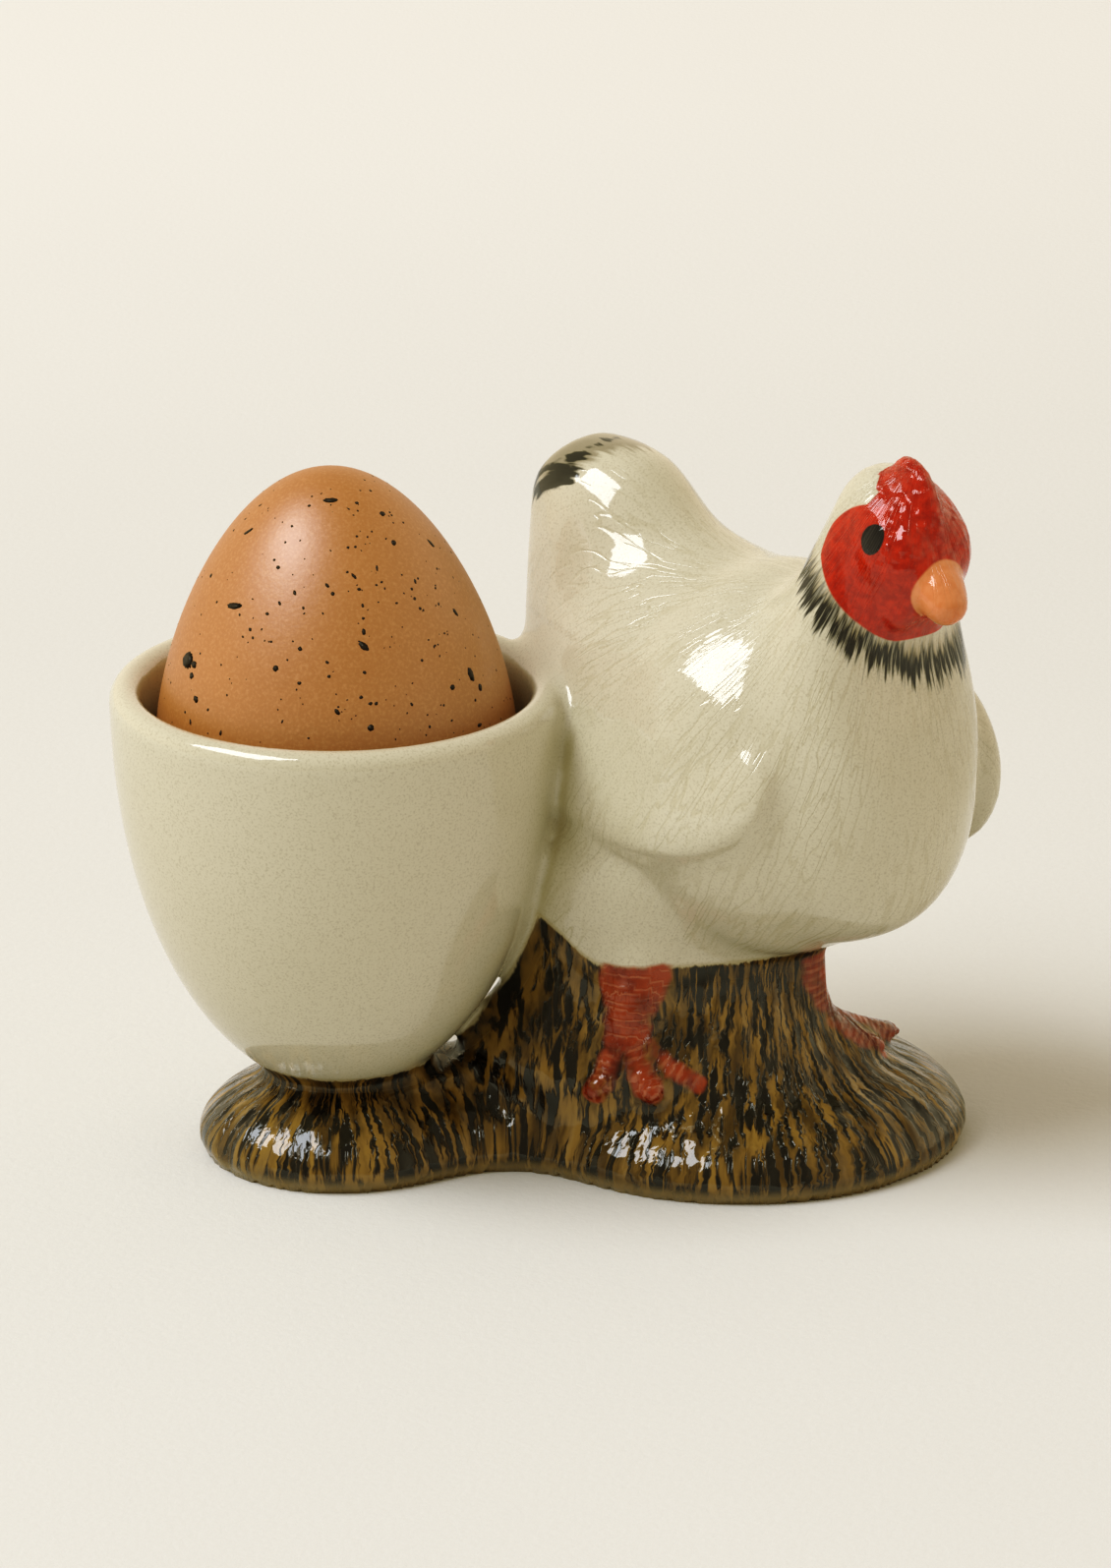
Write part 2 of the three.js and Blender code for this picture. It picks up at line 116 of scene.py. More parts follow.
# x, y, z and radius down each shank and out along each toe: the near leg, then the far one
LEGS = [
    [(37.8, -4.8, 31.0, 5.9), (37.6, -6.5, 27.0, 5.5), (36.8, -8.8, 22.5, 3.9), (36.2, -10.3, 18.0, 3.1)],
    [(36.2, -10.2, 18.6, 2.2), (34.0, -12.3, 13.8, 1.9), (31.0, -14.3, 11.4, 1.1)],
    [(36.2, -10.4, 18.6, 2.2), (38.0, -13.2, 14.0, 1.9), (40.0, -16.0, 11.6, 1.1)],
    [(36.6, -10.2, 18.8, 2.1), (40.5, -12.0, 15.2, 1.7), (44.8, -13.2, 12.8, 1.0)],
    [(57.6, -1.0, 31.0, 3.0), (58.4, -1.0, 26.0, 2.6), (59.2, -0.6, 20.0, 2.3), (61.0, 0.4, 16.0, 2.1)],
    [(60.4, 0.0, 16.6, 2.0), (65.0, 3.6, 13.8, 1.7), (71.0, 7.6, 11.6, 1.1)],
    [(60.4, -0.4, 16.6, 2.0), (64.6, 0.2, 13.6, 1.6), (69.0, 1.6, 11.8, 1.0)],
]
# grid of the joined skin, steps that even it out, steps that fill its hollows and how far each fills
SKIN_GRID, EVEN_STEPS, FILL_STEPS, FILL_AMOUNT = 0.70, 6, 40, 0.6
# the skin below this height is drawn down flat onto the table
TABLE_DRAW = 0.6

# the cup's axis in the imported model's frame
egg_low, egg_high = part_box("boiled_egg")
cup_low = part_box("hen_egg_cup")[0]
AXIS_X = cup_low.x / MM + CUP_RIM_RADIUS
AXIS_Y = (egg_low.y + egg_high.y) / 2 / MM


# -------- small tools
def placed(name, data):
    """New object with the data, put into the scene."""
    made = bpy.data.objects.new(name, data)
    bpy.context.scene.collection.objects.link(made)
    return made


def along_table(rows, t):
    """Catmull-Rom curve through the rows: a cubic between neighbours whose end slopes are
    half the difference of the rows on either side; t runs from 0 to 1 over the table."""
    rows = np.asarray(rows, float)
    last = len(rows) - 1
    x = np.clip(np.asarray(t, float), 0, 1) * last
    i = np.minimum(x.astype(int), last - 1)
    w = (x - i)[:, None]
    before = np.where((i == 0)[:, None], 2 * rows[0] - rows[1], rows[np.maximum(i - 1, 0)])
    after = np.where((i == last - 1)[:, None], 2 * rows[last] - rows[last - 1],
                     rows[np.minimum(i + 2, last)])
    p1, p2 = rows[i], rows[i + 1]
    v0, v1 = (p2 - before) / 2, (after - p1) / 2
    return (2 * p1 - 2 * p2 + v0 + v1) * w ** 3 + (3 * p2 - 3 * p1 - 2 * v0 - v1) * w ** 2 + v0 * w + p1


def eased(x, a, b):
    """0 before a, 1 after b, the smooth cubic 3t^2 - 2t^3 between."""
    t = np.clip((np.asarray(x, float) - a) / (b - a), 0, 1)
    return t * t * (3 - 2 * t)


def soft_min(a, b, k):
    """The smaller of a and b, rounded over a width k where they are nearly equal."""
    h = np.clip(0.5 + 0.5 * (b - a) / k, 0, 1)
    return b * (1 - h) + a * h - k * h * (1 - h)


def from_hen(forward, side, height, amount=0.0):
    """Hen's forward, side and height to x, y, z: the neck first turns by `amount` of its full
    turn about the pivot, then everything turns by the hen's heading and moves to its place."""
    k = -math.radians(NECK_TURN) * amount
    f = forward - NECK_PIVOT
    f, side = NECK_PIVOT + f * np.cos(k) - side * np.sin(k), f * np.sin(k) + side * np.cos(k)
    a = math.radians(HEN_HEADING)
    x = HEN_X + f * math.sin(a) + side * math.cos(a)
    y = HEN_Y - f * math.cos(a) + side * math.sin(a)
    return np.stack([x, y, height + 0 * f], -1)


def to_hen(points, amount=0.0):
    """The reverse of from_hen: columns forward, side, height."""
    a = math.radians(HEN_HEADING)
    x, y = points[:, 0] - HEN_X, points[:, 1] - HEN_Y
    f, s = x * math.sin(a) - y * math.cos(a), x * math.cos(a) + y * math.sin(a)
    k = -math.radians(NECK_TURN) * amount
    g = f - NECK_PIVOT
    return np.stack([NECK_PIVOT + g * np.cos(k) + s * np.sin(k), -g * np.sin(k) + s * np.cos(k),
                     points[:, 2]], -1)


def closed_stack(rings):
    """Closed skin over a stack of rings: point (i, j) is point j of ring i, joined to its
    neighbours in the ring and to the next ring; each end ring is drawn to its mean point."""
    rings = np.asarray(rings, float)
    n, m = rings.shape[:2]
    points = np.concatenate([rings[0].mean(0)[None], rings.reshape(-1, 3), rings[-1].mean(0)[None]])
    j = np.arange(m)
    k = (j + 1) % m
    i = np.arange(n - 1)[:, None]
    a, b = 1 + i * m + j, 1 + i * m + k
    faces = np.concatenate([
        np.stack([0 * j, 1 + k, 1 + j], -1),
        np.stack([a, b, b + m], -1).reshape(-1, 3),
        np.stack([a, b + m, a + m], -1).reshape(-1, 3),
        np.stack([0 * j + len(points) - 1, len(points) - 1 - m + j, len(points) - 1 - m + k], -1),
    ])
    return points, faces


def turned(profile, count):
    """Surface of revolution: radius and height of the profile carried round the z axis."""
    profile = np.asarray(profile, float)
    a = np.linspace(0, 2 * np.pi, count, endpoint=False)
    r, z = profile[:, :1], profile[:, 1:]
    return closed_stack(np.stack([r * np.cos(a), r * np.sin(a), z + 0 * a], -1))


# -------- forms
def egg_radius(above):
    """Egg profile: half the width times the root of (L^2 - 4x^2) over (L^2 + 8wx + 4w^2), with
    x the height from the middle, so the widest place lies below the middle."""
    x = above - EGG_LENGTH / 2
    under = EGG_LENGTH ** 2 + 8 * EGG_TAPER * x + 4 * EGG_TAPER ** 2
    return EGG_WIDTH / 2 * np.sqrt(np.maximum(EGG_LENGTH ** 2 - 4 * x * x, 0) / under)


def on_egg(azimuth, above, out=0.0):
    """Point on the shell at an angle round the axis and a height above the blunt end, moved
    `out` along the slope's normal, then leant over with the whole egg about its pivot."""
    step = 0.02
    slope = (egg_radius(above + step) - egg_radius(above - step)) / (2 * step)
    slope = np.clip(np.nan_to_num(slope), -40, 40)
    norm = np.hypot(1, slope)
    r = egg_radius(above) + out / norm
    z = above - out * slope / norm - EGG_PIVOT
    x, y = r * np.cos(azimuth), r * np.sin(azimuth)
    a = math.radians(EGG_LEAN)
    return np.stack([x * math.cos(a) - z * math.sin(a), y,
                     x * math.sin(a) + z * math.cos(a) + EGG_PIVOT + EGG_BOTTOM], -1)


def cup_outside(height):
    """Outer radius of the cup: rim radius times the root of one minus the depth below the rim,
    as a part of the bowl's depth, to a power a little over two."""
    down = np.maximum(CUP_RIM_HEIGHT - height, 0) / CUP_BOWL_DEPTH
    return CUP_RIM_RADIUS * np.sqrt(np.maximum(1 - down ** CUP_BOWL_POWER, 0))


def cup_form():
    """The cup's wall turned about its axis: outside curve, half-round lip, then the bowl, which
    follows the egg's blunt end at the seat's gap and opens to the lip."""
    z = np.linspace(CUP_FOOT_HEIGHT, CUP_RIM_HEIGHT - LIP_RISE, 60)
    outside = np.stack([cup_outside(z), z], -1)
    a = np.linspace(0, np.pi, 16)[1:-1]
    lip = np.stack([CUP_RIM_RADIUS - LIP_HALF_WIDTH * (1 - np.cos(a)),
                    CUP_RIM_HEIGHT - LIP_RISE + LIP_RISE * np.sin(a)], -1)
    above = np.linspace(0.15, 1, 16) ** 1.6 * SEAT_HEIGHT
    slope = (egg_radius(above + 0.01) - egg_radius(above - 0.01)) / 0.02
    norm = np.hypot(1, slope)
    seat = np.stack([egg_radius(above) + SEAT_GAP / norm,
                     EGG_BOTTOM + above - SEAT_GAP * slope / norm], -1)
    wall = along_table(np.concatenate([seat[-1:], BOWL_WALL]), np.linspace(0, 1, 30)[1:])
    bowl = np.concatenate([seat, wall])[::-1]
    return turned(np.concatenate([outside, lip, bowl]), 200)


def hen_form():
    """The hen from tail to beak: at each step a closed oval spans the back line and the front
    line, its width narrower above than below; the neck turns gradually towards the head."""
    t = np.linspace(0, 1, 160)
    table = along_table(HEN_STATIONS, t)
    a = np.linspace(0, 2 * np.pi, 120, endpoint=False)[None]
    up = np.cos(a)
    across = np.sin(a) * (1 - table[:, 5:6] * up)
    forward = (table[:, 0:1] + table[:, 2:3]) / 2 + (table[:, 0:1] - table[:, 2:3]) / 2 * up
    height = (table[:, 1:2] + table[:, 3:4]) / 2 + (table[:, 1:2] - table[:, 3:4]) / 2 * up
    turn = eased(t * (len(HEN_STATIONS) - 1), NECK_START, NECK_END)[:, None]
    return closed_stack(from_hen(forward, np.maximum(table[:, 4:5], 0.2) * across, height, turn))


def lump_form(lump, side, amount=0.0):
    """Egg-shaped lump: a sphere stretched to its half sizes, rolled, tipped and moved."""
    (f0, s0, z0), (hf, hs, hz), pitch, roll = lump
    pitch, roll = math.radians(pitch), math.radians(roll) * side
    v = np.linspace(0, np.pi, 40)[1:-1, None]
    a = np.linspace(0, 2 * np.pi, 60, endpoint=False)[None]
    f, b, c = hf * np.sin(v) * np.cos(a), hs * np.sin(v) * np.sin(a), -hz * np.cos(v) + 0 * a
    s, z = b * math.cos(roll) - c * math.sin(roll), b * math.sin(roll) + c * math.cos(roll)
    forward = f0 + f * math.cos(pitch) - z * math.sin(pitch)
    height = z0 + f * math.sin(pitch) + z * math.cos(pitch)
    return closed_stack(from_hen(forward, side * s0 + s, height, amount))


def comb_outline(count=160):
    """Closed Catmull-Rom line through the comb's points."""
    rows = np.asarray(COMB_LINE + COMB_LINE[:1], float)
    return along_table(rows, np.linspace(0, 1, count, endpoint=False))


def comb_form():
    """The comb: its outline drawn in towards the middle and stacked across the thickness, so that
    the blade is thick inside and rounded at the edge."""
    line = comb_outline()
    middle = np.array(COMB_MIDDLE)
    rings = []
    for across in np.linspace(-1, 1, 17):
        inset = 0.9 * (1 - math.sqrt(max(1 - abs(across) ** 2.4, 0)))
        p = middle + (line - middle) * (1 - inset * 0.35)
        rings.append(from_hen(p[:, 0], across * COMB_THICK / 2, p[:, 1], 1.0))
    return closed_stack(rings)


def footprint(x, y):
    """Below zero inside the footprint: a disc under the cup, an oval under the hen and a bridge
    between them, run together by soft minimums."""
    disc = np.hypot(x, y - FOOT_CUP_Y) - FOOT_CUP_RADIUS
    oval = (np.hypot((x - FOOT_HEN_X) / FOOT_HEN_RX, (y - FOOT_HEN_Y) / FOOT_HEN_RY) - 1) * FOOT_HEN_RY
    part = np.clip(x, 0, FOOT_HEN_X)
    bridge = np.hypot(x - part, y - part * FOOT_HEN_Y / FOOT_HEN_X) - FOOT_WAIST_HALF
    return soft_min(soft_min(disc, oval, FOOT_BLEND), bridge, FOOT_BLEND)


def foot_line(count):
    """The footprint's edge, found by halving along rays from a point in the bridge."""
    a = np.linspace(0, 2 * np.pi, count, endpoint=False)
    near, far = np.zeros(count), np.full(count, 80.0)
    for _ in range(40):
        middle = (near + far) / 2
        outside = footprint(FOOT_X + middle * np.cos(a), FOOT_Y + middle * np.sin(a)) > 0
        near, far = np.where(outside, near, middle), np.where(outside, middle, far)
    return np.stack([FOOT_X + near * np.cos(a), FOOT_Y + near * np.sin(a)], -1)


def foot_form():
    """The base plate: the footprint's edge moved outward along its own normal and upward by the
    edge profile, then drawn in to the flat top."""
    line = foot_line(400)
    way = np.roll(line, -1, 0) - np.roll(line, 1, 0)
    way /= np.linalg.norm(way, axis=1)[:, None]
    normal = np.stack([way[:, 1], -way[:, 0]], -1)
    edge = along_table(FOOT_EDGE, np.linspace(0, 1, 36))
    rings = [np.column_stack([line + normal * out, np.full(len(line), z)]) for out, z in edge]
    centre = np.array([FOOT_X, FOOT_Y])
    rings.append(np.column_stack([centre + (line - centre) * 0.4, np.full(len(line), FOOT_TOP)]))
    points, faces = closed_stack(rings)
    points[0, :2] = centre
    points[-1, :2] = centre
    return points, faces


def mound_form():
    """The mound under the hen: ovals stacked upward, spreading below and into the body above."""
    z, cx, cy, rx, ry = [c[:, None] for c in along_table(MOUND, np.linspace(0, 1, 60)).T]
    a = np.linspace(0, 2 * np.pi, 160, endpoint=False)[None]
    return closed_stack(np.stack([cx + rx * np.cos(a), cy + ry * np.sin(a), z + 0 * a], -1))


def bar_form(rows):
    """Round bar: circles square to a Catmull-Rom line through the points, with the radius
    carried along; the end is drawn in to a rounded tip."""
    t = np.linspace(0, 1, 40)
    row = along_table(rows, t)
    way = along_table(rows, t + 0.01)[:, :3] - along_table(rows, t - 0.01)[:, :3]
    way /= np.linalg.norm(way, axis=1)[:, None]
    side = np.cross(np.array([0, 1, 0.3]), way)
    side /= np.linalg.norm(side, axis=1)[:, None]
    up = np.cross(way, side)
    a = np.linspace(0, 2 * np.pi, 24, endpoint=False)[None, :, None]
    tip = np.sqrt(np.clip((1 - t) / 0.12, 0.02, 1))
    radius = (row[:, 3] * tip)[:, None, None]
    return closed_stack(row[:, None, :3] + radius * (np.cos(a) * side[:, None] + np.sin(a) * up[:, None]))


def beak_rows():
    """The beak's rows with their places turned to x, y, z by the head."""
    rows = np.array(BEAK)
    return np.column_stack([from_hen(rows[:, 0], rows[:, 1], rows[:, 2], 1.0), rows[:, 3]])


# -------- joining and softening
def push_out_of_bowl(points):
    """Keeps the hen and the base out of the cup's bowl: below the rim, a point nearer the axis
    than the middle of the cup's wall is moved out to it."""
    r, z = np.hypot(points[:, 0], points[:, 1]), points[:, 2]
    least = np.where(z > BOWL_FLOOR, cup_outside(np.maximum(z, 20)) - WALL_MIDDLE, 0)
    least = least * (1 - eased(z, CUP_RIM_HEIGHT - 4, CUP_RIM_HEIGHT + 3))
    scale = np.where(r > 4, np.maximum(least / np.maximum(r, 1e-6), 1), 1)
    points[:, :2] *= scale[:, None]
    return points


def joined_skin(forms, grid):
    """One closed skin round all the forms, as quads of about the grid's size."""
    points, faces, start = [], [], 0
    for p, f in forms:
        points.append(p)
        faces.append(f + start)
        start += len(p)
    mesh = bpy.data.meshes.new("rough")
    mesh.from_pydata(np.concatenate(points), [], np.concatenate(faces))
    rough = placed("rough", mesh)
    remesh = rough.modifiers.new("join", "REMESH")
    remesh.mode = "VOXEL"
    remesh.voxel_size = grid
    evaluated = rough.evaluated_get(bpy.context.evaluated_depsgraph_get())
    made = evaluated.to_mesh()
    co = np.zeros(len(made.vertices) * 3, np.float32)
    made.vertices.foreach_get("co", co)
    loops = np.zeros(len(made.loops), np.int32)
    made.loops.foreach_get("vertex_index", loops)
    sizes = np.zeros(len(made.polygons), np.int32)
    made.polygons.foreach_get("loop_total", sizes)
    evaluated.to_mesh_clear()
    bpy.data.objects.remove(rough)
    bpy.data.meshes.remove(mesh)
    if not (sizes == 4).all():
        raise RuntimeError("the joined skin has faces that are not quads")
    return co.reshape(-1, 3).astype(float), loops.reshape(-1, 4)


def spread(values, index, count):
    """Sums rows of values into count bins."""
    return np.stack([np.bincount(index, values[:, c], count) for c in range(values.shape[1])], -1)


def normals_of(points, quads):
    """Normal at each point: the sum of the cross products of its faces' diagonals."""
    across = np.cross(points[quads[:, 2]] - points[quads[:, 0]], points[quads[:, 3]] - points[quads[:, 1]])
    total = spread(np.repeat(across, 4, 0), quads.reshape(-1), len(points))
    return total / np.maximum(np.linalg.norm(total, axis=1), 1e-9)[:, None]


def cup_crease(points):
    """1 in the crease where the hen's body meets the cup's wall, 0 away from it."""
    off_cup = np.abs(np.hypot(points[:, 0], points[:, 1]) - cup_outside(points[:, 2]))
    near = 1 - eased(off_cup, 2.0, 5.0)
    return near * eased(points[:, 2], 30, 34) * (1 - eased(points[:, 2], 56, 62))


def softened(points, quads, even, fill, fill_amount):
    """Evens the skin out, then lets glaze run into the hollows: each point moves towards the mean
    of its neighbours, at first freely and then only outward along the normal. The crease between
    the cup and the hen stays deep."""
    fill_amount = fill_amount * (1 - 0.8 * cup_crease(points))
    a = np.concatenate([quads[:, [0, 1]], quads[:, [1, 2]], quads[:, [2, 3]], quads[:, [3, 0]]])
    ends = np.concatenate([a[:, 0], a[:, 1]])
    others = np.concatenate([a[:, 1], a[:, 0]])
    count = np.maximum(np.bincount(ends, minlength=len(points)), 1)[:, None]
    for step in range(even):
        pull = spread(points[others], ends, len(points)) / count - points
        points = points + pull * (0.5 if step % 2 == 0 else -0.52)
    for step in range(fill):
        pull = spread(points[others], ends, len(points)) / count - points
        normal = normals_of(points, quads)
        out = (pull * normal).sum(1)
        slide = pull - normal * out[:, None]
        points = points + normal * (np.maximum(out, 0) * fill_amount)[:, None] + slide * 0.3
    return points


def shown(name, points, faces, replaced, slot_name, material):
    """Makes the finished piece: millimetres to metres, the cup's axis moved to its place."""
    mesh = bpy.data.meshes.new(name)
    place = (np.asarray(points) + [AXIS_X, AXIS_Y, 0]) * MM
    mesh.from_pydata(place, [], faces)
    mesh.update()
    mesh.polygons.foreach_set("use_smooth", np.ones(len(mesh.polygons), bool))
    piece = placed(name, mesh)
    mesh.materials.append(material)
    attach(piece, "root")
    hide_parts(replaced)
    return piece


def keep_value(piece, name, values):
    """Stores one number, or a vector, for each point of the piece under a name."""
    values = np.asarray(values, np.float32)
    kind = "FLOAT" if values.ndim == 1 else "FLOAT_VECTOR"
    layer = piece.data.attributes.new(name, kind, "POINT")
    layer.data.foreach_set("value" if values.ndim == 1 else "vector", values.reshape(-1))


# -------- paint, as distances in millimetres
def oval_depth(f, z, oval):
    """Depth inside an oval, from its middle, half sizes and tilt: positive inside."""
    cf, cz, rf, rz, tilt = oval
    a = math.radians(tilt)
    u = (f - cf) * math.cos(a) + (z - cz) * math.sin(a)
    v = -(f - cf) * math.sin(a) + (z - cz) * math.cos(a)
    return (1 - np.hypot(u / rf, v / rz)) * min(rf, rz)


def line_depth(f, z, line):
    """Depth inside a closed line: distance to its nearest edge, positive inside."""
    nearest = np.full(f.shape, 1e9)
    inside = np.zeros(f.shape, bool)
    for (fa, za), (fb, zb) in zip(line, np.roll(line, -1, 0)):
        df, dz = fb - fa, zb - za
        t = np.clip(((f - fa) * df + (z - za) * dz) / (df * df + dz * dz + 1e-12), 0, 1)
        nearest = np.minimum(nearest, np.hypot(f - fa - t * df, z - za - t * dz))
        crosses = ((za > z) != (zb > z)) & (f < df * (z - za) / (dz if abs(dz) > 1e-9 else 1e-9) + fa)
        inside ^= crosses
    return np.where(inside, nearest, -nearest)


def bar_depth(points, rows):
    """Depth inside a bar, positive inside, and the length along it."""
    row = along_table(rows, np.linspace(0, 1, 14))
    best, along, before = np.full(len(points), -50.0), np.zeros(len(points)), 0.0
    for here, there in zip(row[:-1], row[1:]):
        d = there[:3] - here[:3]
        t = np.clip(((points - here[:3]) @ d) / (d @ d), 0, 1)
        far = np.linalg.norm(points - here[:3] - t[:, None] * d, axis=1)
        depth = here[3] * (1 - t) + there[3] * t - far
        along = np.where(depth > best, before + t * np.linalg.norm(d), along)
        best = np.maximum(best, depth)
        before += np.linalg.norm(d)
    return best, along


def leg_depth(points):
    """Depth inside the nearest leg or toe, and the length along it, for its ridges."""
    low = np.where(points[:, 2] < 36)[0]
    best, along = np.full(len(points), -50.0), np.zeros(len(points))
    for leg in LEGS:
        depth, length = bar_depth(points[low], leg)
        along[low] = np.where(depth > best[low], length, along[low])
        best[low] = np.maximum(depth, best[low])
    return best, along


# ovals in the head's side view: forward, height, half sizes and tilt in degrees
FACE_OVALS = [
    (25.4, 84.1, 7.0, 6.2, -13.0), (26.8, 78.4, 4.6, 5.6, 25.0), (28.6, 82.5, 4.0, 6.0, 0.0),
]
BROW_OVAL = (28.4, 89.8, 4.9, 4.8, 0.0)
EYE_OVAL = (26.0, 86.6, 1.6, 1.85, 0.0)
# the feathers' edge under the face: forward and height of a point on it, and how fast it falls
FACE_CORNER, FACE_SLOPE = (18.0, 84.0), 1.3
# the collar's plane: how fast it falls forward and sideways, and its height over the hen's place
COLLAR_SLOPE, COLLAR_SIDE, COLLAR_AT = 0.827, 0.30, 89.7
# the lower edge of the tail's tip: forward and height
TAIL_EDGE = [(-38, 77.0), (-31, 80.0), (-25, 84.0), (-17, 86.6)]
# heights where the brown ends: at the hen, how much higher beside the cup, and on the cup itself
BROWN_TOP, BROWN_BY_CUP, BROWN_ON_CUP = 27.4, 5.4, 12.6
# height where the legs' paint ends
LEG_TOP = 27.6
# depths given to places that a painted area of the head or of the body can't reach
FAR_FACE, FAR_BODY = -9, -20


def face_depth(f, z):
    """Depth inside the red face: its ovals, cut off along the feathers' edge, and the brow."""
    face = np.max([oval_depth(f, z, oval) for oval in FACE_OVALS], 0)
    over = ((f - FACE_CORNER[0]) * FACE_SLOPE + z - FACE_CORNER[1]) / math.hypot(FACE_SLOPE, 1)
    face = np.where(f > 12, np.minimum(face, over), FAR_FACE)
    return np.maximum(face, oval_depth(f, z, BROW_OVAL))


def comb_depth(f, s, z):
    """Depth inside the comb's paint: within its outline and its thickness, drawn in at the rear
    and let out at the root."""
    rear = 1 - eased(f, 19.8, 22.0)
    root = eased(f, 21.6, 23.2) * (1 - eased(f, 24.0, 27.0))
    outline = line_depth(f, z, comb_outline(80)) - 2.0 * rear + 0.25 + 1.2 * root
    return np.minimum(outline, COMB_THICK / 2 + 0.9 + 1.6 * root - np.abs(s))


def collar_height(f, s, z, body_f):
    """Height over the collar's plane, square to it, on the neck and breast only."""
    steep = math.sqrt(1 + COLLAR_SLOPE ** 2 + COLLAR_SIDE ** 2)
    height = (z + COLLAR_SLOPE * f + COLLAR_SIDE * s - COLLAR_AT) / steep
    return np.where((body_f > 6) & (z > 58), height, FAR_BODY)


def tail_depths(body_f, z):
    """Depth inside the tail's tip, and inside the black strokes along its lower rear edge."""
    tip = z - np.interp(body_f, *np.array(TAIL_EDGE).T)
    black = np.minimum(np.minimum(tip + 0.6, 3.6 - tip), (-26.4 - body_f) * 0.7)
    return np.where(body_f < -14, tip, FAR_BODY), black


def paint_distances(points):
    """Every painted area as a distance in millimetres from its edge, positive inside; with them
    the length along a leg, and 1 where the comb and the face are grainy."""
    f, s, z = to_hen(points, 1.0).T
    body_f = to_hen(points, 0.0)[:, 0]
    face, comb = face_depth(f, z), comb_depth(f, s, z)
    beak = np.minimum(bar_depth(points, beak_rows())[0] + 0.35, f - 29.3)
    eye = oval_depth(f, z, EYE_OVAL)
    tail, tail_black = tail_depths(body_f, z)
    off_cup = np.hypot(points[:, 0], points[:, 1]) - cup_outside(z)
    top = BROWN_TOP + BROWN_BY_CUP * (1 - eased(points[:, 0], 24, 33))
    brown = np.minimum(top - z, np.maximum(off_cup - 1.5, BROWN_ON_CUP - z))
    # depth inside the crease by the cup, where the glaze is darkened: pooled glaze together with painted
    # shade
    pool_and_shade = np.minimum(np.minimum(off_cup - 0.12, 2.6 - off_cup), np.minimum(z - 30, 58 - z) * 0.3)
    leg, leg_along = leg_depth(points)
    grainy = eased(comb, -0.3, 0.3) + eased(face, 0, 1) * eased(f, 25.5, 27.5) * eased(z, 83.0, 85.0)
    return {
        "red_in": np.maximum(face, comb), "beak_in": beak, "eye_in": np.where(f > 18, eye, FAR_FACE),
        "collar_up": collar_height(f, s, z, body_f), "tail_in": tail, "tail_black": tail_black,
        "brown_in": brown, "pool_and_shade_in": pool_and_shade, "leg_in": np.minimum(leg, LEG_TOP - z) + 0.25,
        "leg_along": leg_along, "grainy": np.clip(grainy, 0, 1) * (1 - eased(eye, -0.6, 0)),
    }


# the feathers' run: forward, side and height of the two ends of its axis, the radius that turns an
# angle into a length, and how much of the neck's turn the run follows
PLUME_FROM, PLUME_TO, PLUME_RADIUS, PLUME_TURN = (20.0, 0.0, 86.0), (0.0, 0.0, 52.0), 24.0, 0.4
# height that the base's grooves don't reach
BARK_TOP = 38


def plume_flow(points):
    """Where each point lies in the run of the feathers, which leave the neck on all sides: a
    direction round the run's axis, as a point on a circle, and the distance from its start."""
    axis = np.array(PLUME_TO) - PLUME_FROM
    axis /= np.linalg.norm(axis)
    side = np.array([0.0, 1.0, 0.0])
    front = np.cross(side, axis)
    q = to_hen(points, PLUME_TURN) - PLUME_FROM
    u, v, w = q @ side, q @ front, q @ axis
    r = np.maximum(np.hypot(u, v), 1e-6)
    reach = np.hypot(np.hypot(u, v), w)
    return np.stack([PLUME_RADIUS * u / r, PLUME_RADIUS * v / r, reach], -1)


def bark_flow(points):
    """Where each point lies in the run of the base's grooves, which fall to the nearest place on
    the footprint's edge: that place, and the way up from it."""
    line = foot_line(720)
    flow = np.zeros((len(points), 3))
    low = np.where(points[:, 2] < BARK_TOP)[0]
    for part in np.array_split(low, max(len(low) // 4000, 1)):
        d = np.hypot(points[part, 0:1] - line[None, :, 0], points[part, 1:2] - line[None, :, 1])
        flow[part, :2] = line[d.argmin(1)]
        flow[part, 2] = points[part, 2] + d.min(1) * 0.8
    return flow


def feathered(points):
    """1 where the feathers' strokes run: over the hen, and not on the cup or the base."""
    x, z = points[:, 0], points[:, 2]
    r = np.hypot(x, points[:, 1])
    on_hen = eased(r - cup_outside(z), 0.6, 2.4)
    on_hen = np.where(z > CUP_RIM_HEIGHT - 2, eased(r, CUP_RIM_RADIUS + 0.5, CUP_RIM_RADIUS + 3), on_hen)
    on_hen = np.where((z > 66) & (x > 20), 1.0, on_hen)
    return on_hen * eased(z, 26, 31)


# -------- shader tools
def new_material(name):
    """Material whose output shows one plain shader, with its tree and that shader."""
    material = bpy.data.materials.new(name)
    material.use_nodes = True
    tree = material.node_tree
    tree.nodes.clear()
    out = tree.nodes.new("ShaderNodeOutputMaterial")
    shader = tree.nodes.new("ShaderNodeBsdfPrincipled")
    tree.links.new(shader.outputs[0], out.inputs[0])
    return material, tree, shader


def node(tree, kind, values=(), **settings):
    """Adds a node, sets its properties, and links or fills its inputs by position or name."""
    made = tree.nodes.new(kind)
    for key, value in settings.items():
        setattr(made, key, value)
    pairs = values.items() if isinstance(values, dict) else enumerate(values)
    for key, value in pairs:
        if isinstance(value, bpy.types.NodeSocket):
            tree.links.new(value, made.inputs[key])
        else:
            made.inputs[key].default_value = value
    return made


def calc(tree, operation, *values):
    """One step of arithmetic on values or sockets."""
    return node(tree, "ShaderNodeMath", values, operation=operation).outputs[0]


def plus(tree, a, b):
    return calc(tree, "ADD", a, b)


def times(tree, a, b):
    return calc(tree, "MULTIPLY", a, b)


def swing(tree, value, amount):
    """A value about a half turned into a swing about zero, `amount` times as wide."""
    return times(tree, calc(tree, "SUBTRACT", value, 0.5), amount)


